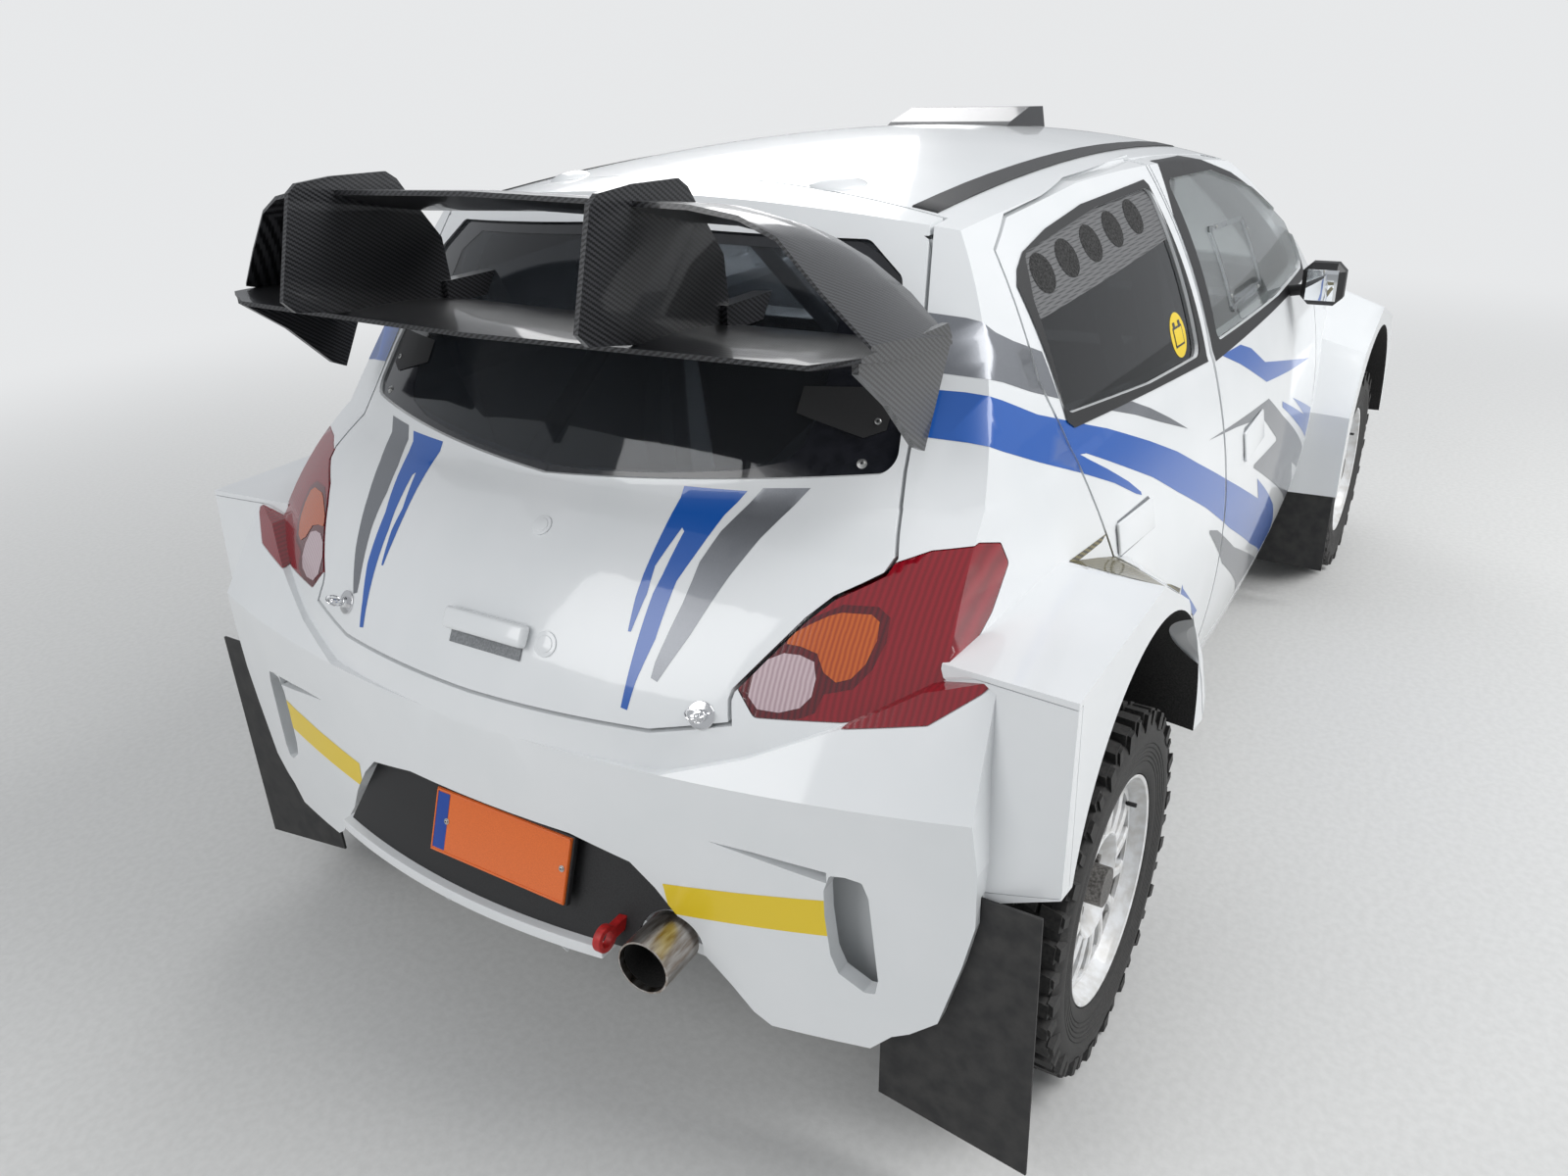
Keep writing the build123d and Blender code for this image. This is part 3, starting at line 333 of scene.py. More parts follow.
blue = textured(
    "blue_film", (0.006, 0.095, 0.42), 0.3, coat_weight=0.7, coat_roughness=0.05, texture=(900, 0.00002, 2))
grey = textured(
    "grey_film", (0.20, 0.21, 0.23), 0.38, 0.55, coat_weight=0.6, coat_roughness=0.06,
    texture=(2600, 0, 2, ((0.15, 0.16, 0.18), (0.27, 0.28, 0.30))))
side_parts = [
    ("body_shell", "car_body"), ("rear_right_door", "rear_right_door_assembly"),
    ("front_right_door", "front_right_door_assembly")]
side_blue = [
    (-1.520, 1.235), (-1.360, 1.199), (-1.316, 1.180), (-1.229, 1.138), (-1.123, 1.100), (-1.003, 1.058),
    (-0.844, 0.994), (-0.717, 0.939), (-0.605, 0.883), (-0.387, 0.779), (-0.216, 0.700), (-0.077, 0.637),
    (-0.119, 0.701), (-0.001, 0.638), (0.215, 0.520), (0.350, 0.430), (0.446, 0.352), (0.300, 0.345),
    (0.211, 0.391), (-0.060, 0.512), (-0.355, 0.659), (-0.570, 0.780), (-0.739, 0.867), (-0.855, 0.930),
    (-1.033, 1.012), (-1.102, 1.043), (-1.124, 1.047), (-1.095, 1.030), (-1.039, 0.999), (-0.966, 0.956),
    (-0.919, 0.923), (-0.917, 0.916), (-0.943, 0.927), (-1.023, 0.970), (-1.119, 1.013), (-1.204, 1.049),
    (-1.263, 1.074), (-1.355, 1.115), (-1.398, 1.136), (-1.520, 1.175)]
lay_film("side_blue", side_parts, side_blue, "y", blue)
side_grey = [
    (-1.450, 1.350), (-1.301, 1.294), (-1.270, 1.269), (-1.231, 1.249), (-1.158, 1.218), (-1.149, 1.143),
    (-1.230, 1.173), (-1.300, 1.203), (-1.347, 1.219), (-1.450, 1.255)]
lay_film("side_grey", side_parts[:2], side_grey, "y", grey)
fender = [("front_fenders", "car_body")]
side_films = [
    ("rear_door_grey", grey, side_parts[1:2], [
        (-1.000, 1.090), (-0.880, 1.074), (-0.812, 1.046), (-0.725, 1.005), (-0.642, 0.963), (-0.779, 1.012),
        (-0.879, 1.050)]),
    ("front_door_blue", blue, side_parts[2:], [
        (-0.360, 1.043), (-0.207, 1.033), (-0.129, 1.009), (-0.022, 0.954), (0.561, 0.833), (0.247, 0.871),
        (-0.025, 0.908), (-0.159, 0.965), (-0.235, 0.997)]),
    ("door_grey", grey, side_parts[1:] + fender, [
        (-0.525, 0.908), (-0.014, 0.866), (0.153, 0.780), (0.720, 0.524), (0.720, 0.461), (0.421, 0.576),
        (0.720, 0.391), (0.690, 0.360), (0.035, 0.650), (-0.171, 0.743), (-0.166, 0.750), (0.080, 0.736),
        (0.076, 0.745), (-0.091, 0.841), (-0.326, 0.881)]),
    ("seam_blue", blue, side_parts[2:] + fender, [
        (0.144, 0.819), (0.529, 0.682), (0.287, 0.792), (0.720, 0.649), (0.720, 0.556), (0.400, 0.692),
        (0.145, 0.804)]),
    ("low_grey", grey, side_parts, [
        (-0.532, 0.717), (-0.531, 0.709), (-0.409, 0.609), (-0.377, 0.582), (-0.103, 0.423), (-0.031, 0.368),
        (0.248, 0.348), (-0.278, 0.585), (-0.469, 0.695)]),
    ("low_blue", blue, side_parts, [
        (-0.700, 0.660), (-0.690, 0.646), (-0.540, 0.533), (-0.600, 0.520), (-0.710, 0.600)])]
for film_name, film_material, film_parts, film_outline in side_films:
    lay_film(film_name, film_parts, film_outline, "y", film_material)
tail_films = [
    ("tail_blue", blue, [
        (0.260, 1.070), (0.360, 1.070), (0.341, 1.041), (0.326, 0.997), (0.314, 0.965), (0.311, 0.894),
        (0.297, 0.838), (0.292, 0.799), (0.281, 0.801), (0.282, 0.825), (0.284, 0.891), (0.285, 0.948),
        (0.289, 0.971), (0.293, 1.020), (0.287, 1.024), (0.272, 0.979), (0.276, 0.947), (0.270, 0.899),
        (0.265, 0.899), (0.260, 0.941), (0.259, 0.969), (0.260, 1.009)]),
    ("tail_grey", grey, [
        (0.382, 1.075), (0.450, 1.078), (0.426, 1.044), (0.409, 1.019), (0.388, 0.975), (0.361, 0.904),
        (0.330, 0.842), (0.319, 0.846), (0.320, 0.866), (0.335, 0.939), (0.337, 0.967), (0.337, 0.989),
        (0.348, 1.024)])]
for film_name, film_material, film_outline in tail_films:
    lay_film(film_name, [("tailgate", "tailgate_assembly")], film_outline, "x", film_material)

# Plain yellow film on both ends of the rear bumper, and olive aramid cloth bonded over
# the front edge of each rear flare, where stones strike it.
yellow = textured("yellow_film", (0.80, 0.58, 0.012), 0.4, coat_weight=0.4, texture=(500, 0.00003, 2))
lay_film("bumper_yellow", [("rear_bumper", "car_body")], [
    (0.345, 0.520), (0.605, 0.558), (0.606, 0.493), (0.353, 0.465)], "x", yellow)


def maths(tree, operation, *values):
    """One arithmetic step in a material, fed by numbers or by other steps."""
    step = tree.nodes.new("ShaderNodeMath")
    step.operation = operation
    for socket, value in zip(step.inputs, values):
        if isinstance(value, bpy.types.NodeSocket):
            tree.links.new(value, socket)
        else:
            socket.default_value = value
    return step.outputs[0]


def own_place(tree):
    """The object's own x, y and z, for a pattern."""
    place = tree.nodes.new("ShaderNodeTexCoord")
    split = tree.nodes.new("ShaderNodeSeparateXYZ")
    tree.links.new(place.outputs["Object"], split.inputs["Vector"])
    return split.outputs


def twill(material, shader, strand, colours, relief=0.0002):
    """A two by two twill in the object's own place, with rounded strands of this width; the lighter tone on
    the strands that lie over is a painted sheen.
    """
    tree = material.node_tree
    x, y, z = own_place(tree)
    along = maths(tree, "MULTIPLY", maths(tree, "MULTIPLY_ADD", z, 0.5, x), 1 / strand)
    across = maths(tree, "MULTIPLY", maths(tree, "ADD", y, z), 1 / strand)
    step = maths(tree, "ADD", maths(tree, "FLOOR", along), maths(tree, "FLOOR", across))
    over = maths(tree, "LESS_THAN", maths(tree, "WRAP", step, 4, 0), 1.5)
    blend = tree.nodes.new("ShaderNodeMix")
    tree.links.new(over, blend.inputs[0])
    tree.links.new(maths(tree, "PINGPONG", along, 0.5), blend.inputs[2])
    tree.links.new(maths(tree, "PINGPONG", across, 0.5), blend.inputs[3])
    emboss(tree, blend.outputs[0], shader, 0.8, relief)
    # The two tones are painted sheen: lit and shaded copies of the same strands, by the way they lie.
    tone(tree, over, shader, colours)


aramid, aramid_shader = finish_of("olive_aramid", (0.14, 0.12, 0.05), 0.5, coat_weight=0.5)
twill(aramid, aramid_shader, 0.004, ((0.05, 0.045, 0.03), (0.20, 0.17, 0.07)), 0.0003)
lay_film("flare_top_cloth", side_parts[:2], [
    (-1.230, 0.905), (-1.230, 0.840), (-1.120, 0.838), (-1.060, 0.838), (-1.040, 0.900)],
    "y", aramid, 0.0006, -0.3)
lay_film("flare_edge_cloth", side_parts[:2], [
    (-1.070, 0.822), (-0.776, 0.690), (-0.710, 0.655), (-0.745, 0.615), (-0.900, 0.690), (-1.050, 0.765)],
    "y", aramid, 0.0006)

# Rear wing: two curved planes, two upright fins and bent ends in clear-coated black twill.
# Black brackets and small screws on the tailgate glass stand for what holds it.
carbon, carbon_shader = finish_of("carbon", (0.012, 0.012, 0.013), 0.32, coat_weight=0.5, coat_roughness=0.05)
twill(carbon, carbon_shader, 0.0030, ((0.004, 0.004, 0.005), (0.045, 0.046, 0.050)))
coat(["rear_wing", "roof_scoop"], carbon)
round_edges(["rear_wing", "roof_scoop"], 0.0012)


def mesh_of(build):
    """A mesh made by a function that fills a bmesh."""
    solid = bmesh.new()
    build(solid)
    bmesh.ops.recalc_face_normals(solid, faces=solid.faces)
    mesh = bpy.data.meshes.new("piece")
    solid.to_mesh(mesh)
    solid.free()
    return mesh


def aimed(place, direction):
    """The matrix that stands a piece's own Z axis along a direction, at a place."""
    return Matrix.Translation(place) @ Vector(direction).to_track_quat("Z", "Y").to_matrix().to_4x4()


def round_bar(name, place, direction, radius, length, material, body, sides=24, tip=None, rim=0.0):
    """A round bar or boss from a place along a direction, with an optional softened rim."""
    def build(solid):
        bmesh.ops.create_cone(
            solid, cap_ends=True, segments=sides, radius1=radius, radius2=radius if tip is None else tip,
            depth=length, matrix=aimed(place, direction) @ Matrix.Translation((0, 0, length / 2)))
        if rim:
            far = [edge for edge in solid.edges if len(edge.link_faces) == 2 and any(
                len(face.verts) > 4 for face in edge.link_faces)]
            bmesh.ops.bevel(solid, geom=far, offset=rim, segments=3, affect="EDGES", profile=0.5)
    return shape(name, mesh_of(build), material, body)


skins = {}


def skin_point(part, place, towards):
    """Where a line from a place meets a CAD piece, and the surface's direction there."""
    if part not in skins:
        mesh = node[part].data
        skins[part] = BVHTree.FromPolygons(
            [vertex.co for vertex in mesh.vertices], [face.vertices for face in mesh.polygons])
    met, normal, _, _ = skins[part].ray_cast(Vector(place), Vector(towards))
    return met, normal if normal.dot(Vector(towards)) < 0 else -normal


steel = textured(
    "bright_steel", (0.58, 0.58, 0.57), 0.3, 1.0,
    texture=(700, 0.00004, 3, ((0.46, 0.46, 0.45), (0.66, 0.66, 0.65)), (0.22, 0.45)))
black = textured(
    "black_plastic", (0.016, 0.016, 0.017), 0.5,
    texture=(900, 0.00012, 3, ((0.013, 0.013, 0.014), (0.022, 0.022, 0.023)), (0.42, 0.60)))
clear, clear_shader = finish_of("clear_plastic", (0.93, 0.95, 0.96), 0.06)
clear_shader.inputs["Transmission Weight"].default_value = 0.95
clear_shader.inputs["IOR"].default_value = 1.4
grain(clear, clear_shader, 90, 0.00006, 2, None, (0.04, 0.16))


def screw(name, place, direction, radius, body):
    """A button-head screw on its washer, with a socket in the head."""
    round_bar(f"{name}_washer", place, direction, radius * 1.5, 0.0012, steel, body, rim=0.0003)
    head = Vector(place) + Vector(direction).normalized() * 0.001
    round_bar(f"{name}_head", head, direction, radius, radius * 0.6, steel, body, rim=radius * 0.25)
    socket = head + Vector(direction).normalized() * radius * 0.6
    round_bar(f"{name}_socket", socket, direction, radius * 0.45, 0.0003, black, body, sides=6)


for side, name in ((1, "left"), (-1, "right")):
    for where, y, z in (("high", 0.513, 1.161), ("low", 0.508, 1.108)):
        met, normal = skin_point("tailgate_glass", (-2.2, side * y, z), (1, 0, 0))
        screw(f"glass_screw_{where}_{name}", met, normal, 0.005, "tailgate_assembly")
    outline = [(side * y, z) for y, z in (
        (0.395, 1.205), (0.528, 1.205), (0.528, 1.150), (0.500, 1.140), (0.395, 1.170))]
    bracket_mesh = film_mesh("tailgate_glass", outline, "x", -1.1, -2.2, 0.0022)
    shape(f"wing_bracket_{name}", bracket_mesh, black, "tailgate_assembly")

# Tail lamps: deep red lenses that run round the corner, with fluted optics under a clear
# coat. An amber indicator and a colourless reversing lens are moulded in beside each other.


def lens_finish(name, deep, bright, spacing):
    """A glossy coloured lens with fine upright flutes inside."""
    material, shader = finish_of(name, bright, 0.16, coat_weight=1.0, coat_roughness=0.02)
    tree = material.node_tree
    place = tree.nodes.new("ShaderNodeTexCoord")
    flutes = tree.nodes.new("ShaderNodeTexWave")
    flutes.bands_direction = "Y"
    flutes.inputs["Scale"].default_value = spacing
    flutes.inputs["Distortion"].default_value = 1.2
    flutes.inputs["Detail"].default_value = 2.0
    tree.links.new(place.outputs["Object"], flutes.inputs["Vector"])
    tone(tree, flutes.outputs["Fac"], shader, (deep, bright))
    emboss(tree, flutes.outputs["Fac"], shader, 0.15, 0.0006)
    return material


red_lens = lens_finish("red_lens", (0.19, 0.002, 0.008), (0.27, 0.003, 0.012), 34)
dark_lens = lens_finish("dark_red_lens", (0.07, 0.001, 0.005), (0.13, 0.003, 0.008), 40)
amber_lens = lens_finish("amber_lens", (0.38, 0.055, 0.006), (0.56, 0.115, 0.012), 46)
clear_lens = lens_finish("clear_lens", (0.42, 0.30, 0.33), (0.60, 0.47, 0.50), 46)
coat(["tail_lamps"], red_lens)
round_edges(["tail_lamps"], 0.002, 3)
lamp_films = [
    ("lamp_reflector", dark_lens, 0.0003, [
        (0.480, 0.910), (0.520, 0.935), (0.558, 0.953), (0.604, 0.952), (0.624, 0.940), (0.628, 0.912),
        (0.620, 0.880), (0.602, 0.856), (0.566, 0.848), (0.560, 0.824), (0.540, 0.815), (0.505, 0.811),
        (0.478, 0.814), (0.452, 0.834), (0.456, 0.870)]),
    ("lamp_amber", amber_lens, 0.0010, [
        (0.500, 0.915), (0.525, 0.930), (0.545, 0.940), (0.560, 0.944), (0.599, 0.943), (0.612, 0.935),
        (0.616, 0.914), (0.610, 0.886), (0.596, 0.868), (0.578, 0.863), (0.559, 0.874), (0.544, 0.896),
        (0.520, 0.903), (0.500, 0.905)]),
    ("lamp_clear", clear_lens, 0.0010, [
        (0.466, 0.866), (0.480, 0.885), (0.500, 0.894), (0.522, 0.893), (0.543, 0.886), (0.551, 0.866),
        (0.551, 0.844), (0.539, 0.829), (0.512, 0.821), (0.482, 0.823), (0.466, 0.838)])]
for film_name, film_material, film_lift, film_outline in lamp_films:
    lay_film(film_name, [("tail_lamps", "car_body")], film_outline, "x", film_material, film_lift)
coat(["headlamps"], lens_finish("headlamp_lens", (0.30, 0.32, 0.35), (0.46, 0.48, 0.52), 60))
round_edges(["headlamps"], 0.002)
chrome = textured("chrome", (0.80, 0.80, 0.81), 0.08, 1.0, texture=(300, 0.00003, 2, None, (0.04, 0.14)))
for side, name in ((1, "left"), (-1, "right")):
    for index, (y, z, radius) in enumerate(((0.480, 0.672, 0.030), (0.575, 0.712, 0.034))):
        met, normal = skin_point("headlamps", (2.4, side * y, z), (-1, 0, 0))
        aim_out = (normal + Vector((1, 0, 0))).normalized()
        for part, back, share, length, material in (
                ("ring", 0.010, 1, 0.0115, chrome), ("bowl", 0.002, 0.84, 0.0045, clear_lens)):
            round_bar(
                f"headlamp_{part}_{index + 1}_{name}", met - aim_out * back, aim_out, radius * share, length,
                material, "car_body", sides=40, rim=0.002)

# Glass: a clear windscreen and front door windows, darker rear ones. Black bands are fired
# on round the tailgate glass, and the thin panes have faint scratches.


def glass_finish(name, colour, clearness):
    material, shader = finish_of(name, colour, 0.03, coat_weight=0.3)
    shader.inputs["Transmission Weight"].default_value = clearness
    shader.inputs["IOR"].default_value = 1.33
    grain(material, shader, 140, 0, 5, None, (0.01, 0.07), (1, 1, 6))
    return material


front_panes = ["windscreen", "front_left_door_glass", "front_right_door_glass"]
rear_panes = ["rear_left_door_glass", "rear_right_door_glass"]
coat(front_panes, glass_finish("clear_glass", (0.86, 0.9, 0.9), 0.95))
coat(["tailgate_glass"], glass_finish("tailgate_glass", (0.20, 0.22, 0.25), 0.95))
coat(rear_panes, glass_finish("smoked_glass", (0.10, 0.105, 0.11), 0.9))
fired = textured(
    "fired_black", (0.008, 0.009, 0.012), 0.12, coat_weight=0.6,
    texture=(60, 0, 3, ((0.006, 0.007, 0.010), (0.012, 0.013, 0.018)), (0.06, 0.2)))
lay_film("glass_band", [("tailgate_glass", "tailgate_assembly")], [
    (-0.001, 1.03), (0.62, 1.03), (0.62, 1.45), (-0.001, 1.45), (-0.001, 1.400), (0.360, 1.385),
    (0.410, 1.350), (0.425, 1.230), (0.428, 1.170), (0.420, 1.130), (0.400, 1.108), (0.340, 1.094),
    (0.216, 1.082), (0.090, 1.074), (-0.001, 1.072)], "x", fired)
right_doors = {end: (f"{end}_right_door", f"{end}_right_door_assembly") for end in ("rear", "front")}
seal_rubber = textured(
    "seal_rubber", (0.012, 0.012, 0.013), 0.42,
    texture=(1200, 0.00006, 2, ((0.010, 0.010, 0.011), (0.018, 0.018, 0.019)), (0.35, 0.5)))
lay_film("rear_window_seal", [right_doors["rear"]], [
    (-1.135, 1.338), (-1.094, 1.358), (-0.986, 1.379), (-0.816, 1.397), (-0.481, 1.404), (-0.469, 1.393),
    (-0.462, 1.230), (-0.455, 1.050), (-0.480, 1.052), (-1.122, 1.090), (-1.143, 1.104), (-1.158, 1.316)],
    "y", seal_rubber, 0.0025)
lay_film("front_window_frame", [right_doors["front"]], [
    (-0.348, 1.427), (-0.119, 1.417), (0.120, 1.360), (0.353, 1.273), (0.600, 1.115), (0.640, 1.040),
    (-0.404, 1.040), (-0.427, 1.295)], "y", seal_rubber, 0.0008)


def cells(material, shader, scale, randomness, tones, stops, feature="F1"):
    """A pattern of even cells in the object's own place, toned by the distance that it gives."""
    tree = material.node_tree
    place = tree.nodes.new("ShaderNodeTexCoord")
    pattern = tree.nodes.new("ShaderNodeTexVoronoi")
    pattern.feature = feature
    pattern.inputs["Scale"].default_value = scale
    pattern.inputs["Randomness"].default_value = randomness
    tree.links.new(place.outputs["Object"], pattern.inputs["Vector"])
    tone(tree, pattern.outputs["Distance"], shader, tones, stops)


mesh_panel, mesh_panel_shader = finish_of("perforated_panel", (0.09, 0.092, 0.095), 0.55)
cells(mesh_panel, mesh_panel_shader, 240, 0.0, ((0.004, 0.004, 0.004), (0.13, 0.132, 0.136)), (0.30, 0.42))
rear_pane = [("rear_right_door_glass", "rear_right_door_assembly")]
lay_film("vent_panel", rear_pane, [
    (-1.250, 1.250), (-0.400, 1.298), (-0.400, 1.450), (-1.250, 1.450)], "y", mesh_panel)
foam = textured(
    "vent_foam", (0.012, 0.012, 0.012), 0.9,
    texture=(260, 0.003, 4, ((0.004, 0.004, 0.004), (0.045, 0.045, 0.045))))


def ellipse(centre, width, height, count=28):
    """Points round an ellipse, for a film."""
    return [(
        centre[0] + width / 2 * math.cos(turn * math.tau / count),
        centre[1] + height / 2 * math.sin(turn * math.tau / count)) for turn in range(count)]


vent_centres = ((-1.047, 1.318), (-0.942, 1.326), (-0.830, 1.334), (-0.716, 1.343), (-0.599, 1.350))
for index, place in enumerate(vent_centres):
    lay_film(f"vent_{index + 1}", rear_pane, ellipse(place, 0.076, 0.062), "y", foam, 0.0010)
sign_x = -0.573
lay_film("battery_sign", rear_pane, ellipse((sign_x, 1.127), 0.085, 0.085, 40), "y", yellow, 0.0006)
for sign_name, at, half, low, high, material, lift in (
        ("battery_edge", sign_x, 0.026, 1.106, 1.144, fired, 0.0010),
        ("battery_fill", sign_x, 0.022, 1.110, 1.140, yellow, 0.0014),
        ("battery_post_a", -0.588, 0.006, 1.144, 1.153, fired, 0.0012),
        ("battery_post_b", -0.558, 0.006, 1.144, 1.153, fired, 0.0012)):
    lay_film(sign_name, rear_pane, [
        (at - half, low), (at + half, low), (at + half, high), (at - half, high)], "y", material, lift)

# Wheels: white cast 15 inch rims with thin webs round an open bowl, and gravel tyres with
# block treads. Each is one turned shape with its parts added, and stands for the CAD one.
front_axle, rear_axle, hub_height, hub_out = 1.1825, -1.2675, 0.325, 0.787


def lathe(solid, profile, sides):
    """A ring turned round Y from a closed profile of radius and distance out."""
    rows = []
    for index in range(sides):
        around = index * math.tau / sides
        rows.append([
            solid.verts.new((radius * math.cos(around), out, radius * math.sin(around)))
            for radius, out in profile])
    count = len(profile)
    for index in range(sides):
        row, after = rows[index], rows[(index + 1) % sides]
        for step in range(count):
            solid.faces.new((row[step], row[(step + 1) % count], after[(step + 1) % count], after[step]))


def bent_block(solid, around, span, reach, near, far, shift=0.0, taper=0.12):
    """A tread block: an angle and its span, in and out distances, near and far radii."""
    corners = []
    for radius, slim in ((near, 0.0), (far, taper)):
        for out, lean in ((reach[0], 0.0), (reach[1], shift)):
            for end in (-0.5, 0.5):
                angle = around + lean + span * end * (1 - slim)
                inward = (reach[0] + reach[1]) / 2
                depth = out + (inward - out) * slim * 0.5
                corners.append(solid.verts.new((radius * math.cos(angle), depth, radius * math.sin(angle))))
    a, b, c, d, e, f, g, h = corners
    for face in ((e, f, h, g), (a, b, f, e), (c, d, h, g), (a, c, g, e), (b, d, h, f)):
        solid.faces.new(face)


rubber = textured(
    "tyre_rubber", (0.022, 0.022, 0.022), 0.72,
    texture=(160, 0.0006, 6, ((0.016, 0.016, 0.016), (0.040, 0.038, 0.036)), (0.6, 0.85)))
rim_white = textured(
    "rim_white", (0.74, 0.75, 0.76), 0.38, coat_weight=0.4,
    texture=(40, 0.00015, 5, ((0.60, 0.59, 0.57), (0.77, 0.78, 0.79)), (0.3, 0.5)))
dark_steel = textured(
    "dark_steel", (0.16, 0.155, 0.15), 0.5, 0.8,
    texture=(220, 0.0002, 5, ((0.09, 0.085, 0.08), (0.24, 0.23, 0.22)), (0.35, 0.6)))


def build_tyre(solid):
    side_rings = []
    for radius in (0.230, 0.238, 0.246, 0.254, 0.262):
        out = 0.0960 + (radius - 0.230) * 0.12
        side_rings += [(radius - 0.0015, out), (radius, out - 0.0016), (radius + 0.0015, out + 0.0003)]
    outer = [(0.2045, 0.084), (0.207, 0.091), (0.214, 0.0945), *side_rings, (0.275, 0.1012), (0.292, 0.0990)]
    lathe(solid, outer + [
        (0.303, 0.092), (0.3085, 0.078), (0.3105, 0.0), (0.3085, -0.078), (0.303, -0.092), (0.290, -0.099),
        (0.262, -0.1012), (0.230, -0.096), (0.210, -0.091), (0.2045, -0.084), (0.2055, 0.0)], 108)
    blocks_round = 40
    pitch = math.tau / blocks_round
    for index in range(blocks_round):
        around = index * pitch
        even = index % 2 == 0
        for sign in (1, -1):
            outer_row, inner_row = (sign * 0.058, sign * 0.094), (sign * 0.024, sign * 0.053)
            edge_row = (sign * 0.0905, sign * (0.1015 if even else 0.0985))
            bent_block(solid, around, pitch * 0.62, outer_row, 0.302, 0.3225, pitch * 0.12)
            bent_block(
                solid, around, pitch * (0.60 if even else 0.40), edge_row, 0.288, 0.3185, pitch * 0.1, 0.3)
            bent_block(solid, around + pitch / 2, pitch * 0.66, inner_row, 0.308, 0.3242, pitch * 0.2)
        bent_block(
            solid, around, pitch * 0.62, (-0.019, 0.019), 0.309, 0.3246, pitch * (0.25 if even else -0.25))


def build_rim(solid):
    lathe(solid, [
        (0.2040, 0.0900), (0.2010, 0.0900), (0.1975, 0.0880), (0.1955, 0.0780), (0.1905, 0.0700),
        (0.1885, 0.0580), (0.1800, 0.0460), (0.1770, 0.0), (0.1800, -0.0560), (0.1920, -0.0760),
        (0.1985, -0.0880), (0.2040, -0.0900), (0.2035, -0.0840), (0.1960, -0.0720), (0.1840, -0.0520),
        (0.1812, 0.0), (0.1845, 0.0460), (0.1940, 0.0620), (0.2035, 0.0790)], 96)
    lathe(solid, [
        (0.0960, 0.0665), (0.0930, 0.0672), (0.0895, 0.0650), (0.0700, 0.0400), (0.0630, 0.0345),
        (0.0400, 0.0330), (0.0385, 0.0310), (0.0385, 0.0200), (0.0660, 0.0220), (0.0900, 0.0520),
        (0.0960, 0.0600)], 72)
    lathe(solid, [
        (0.1900, 0.0560), (0.1850, 0.0610), (0.1780, 0.0625), (0.1700, 0.0630), (0.1700, 0.0560),
        (0.1820, 0.0480)], 96)
    spokes = 15
    for index in range(spokes):
        around = index * math.tau / spokes
        rows = []
        for radius, half, top, foot in (
                (0.090, 0.0150, 0.0662, 0.052), (0.105, 0.0100, 0.0672, 0.048),
                (0.135, 0.0085, 0.0668, 0.046), (0.160, 0.0095, 0.0645, 0.045),
                (0.178, 0.0190, 0.0622, 0.046)):
            row = []
            for side, out in (
                    (-1, foot), (-1, top - 0.003), (-0.6, top), (0.6, top), (1, top - 0.003), (1, foot)):
                x = radius * math.cos(around) - side * half * math.sin(around)
                z = radius * math.sin(around) + side * half * math.cos(around)
                row.append(solid.verts.new((x, out, z)))
            rows.append(row)
        for row, after in zip(rows, rows[1:]):
            for step in range(6):
                solid.faces.new((row[step], row[(step + 1) % 6], after[(step + 1) % 6], after[step]))


for end, axle_x in (("front", front_axle), ("rear", rear_axle)):
    for side, name in ((1, "left"), (-1, "right")):
        wheel = f"{end}_{name}"
        body = f"{wheel}_wheel"
        hub = Vector((axle_x, side * hub_out, hub_height))
        for part, build, material in (("tyre", build_tyre, rubber), ("rim", build_rim, rim_white)):
            mesh = mesh_of(build)
            mesh.transform(Matrix.Translation(hub) @ Matrix.Diagonal((1, side, 1, 1)))
            if side < 0:
                mesh.flip_normals()
            piece = shape(f"{wheel}_{part}_detail", mesh, material, body)
            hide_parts(f"{wheel}_{part}")
        out = Vector((0, side, 0))
        for index in range(5):
            around = index * math.tau / 5 + 0.3
            spot = hub + Vector((0.052 * math.cos(around), side * 0.032, 0.052 * math.sin(around)))
            round_bar(
                f"{wheel}_nut_{index + 1}", spot, out, 0.0095, 0.018, dark_steel, body, sides=6, rim=0.001)
        spot = hub + Vector((0.150, side * 0.0600, 0.0780))
        round_bar(f"{wheel}_valve", spot, out, 0.0042, 0.020, black, body, sides=12, rim=0.001)

# Small body fittings: flush white handles, white blanking plugs, chrome quick pins with
# rings, black roof strips and the two swellings over the tailgate hinges.


def pad(name, place, out, up, size, rounding, material, body, sink=0.001):
    """A box with rounded edges on a surface. Its size is across, up and out of the surface."""
    out = Vector(out).normalized()
    up = (Vector(up) - out * Vector(up).dot(out)).normalized()
    across = up.cross(out)
    turn = Matrix((across, up, out)).transposed().to_4x4()

    def build(solid):
        bmesh.ops.create_cube(solid, size=1, matrix=Matrix.Diagonal((*size, 1)))
        bmesh.ops.bevel(
            solid, geom=list(solid.edges), offset=rounding, segments=4, affect="EDGES", profile=0.5)
        centre = Vector(place) + out * (size[2] / 2 - sink)
        bmesh.ops.transform(solid, matrix=Matrix.Translation(centre) @ turn, verts=solid.verts)
    return shape(name, mesh_of(build), material, body)


def hoop(name, place, axis, radius, thickness, material, body, sides=28):
    """A closed wire ring round an axis."""
    def build(solid):
        lathe(solid, [(
            radius + thickness * math.cos(turn * math.tau / 8), thickness * math.sin(turn * math.tau / 8))
            for turn in range(8)], sides)
        frame_turn = Vector(axis).to_track_quat("Y", "Z").to_matrix().to_4x4()
        bmesh.ops.transform(solid, matrix=Matrix.Translation(place) @ frame_turn, verts=solid.verts)
    return shape(name, mesh_of(build), material, body)


def from_behind(part, y, z):
    """Where a line from behind the car meets a CAD piece."""
    return skin_point(part, (-2.4, y, z), (1, 0, 0))


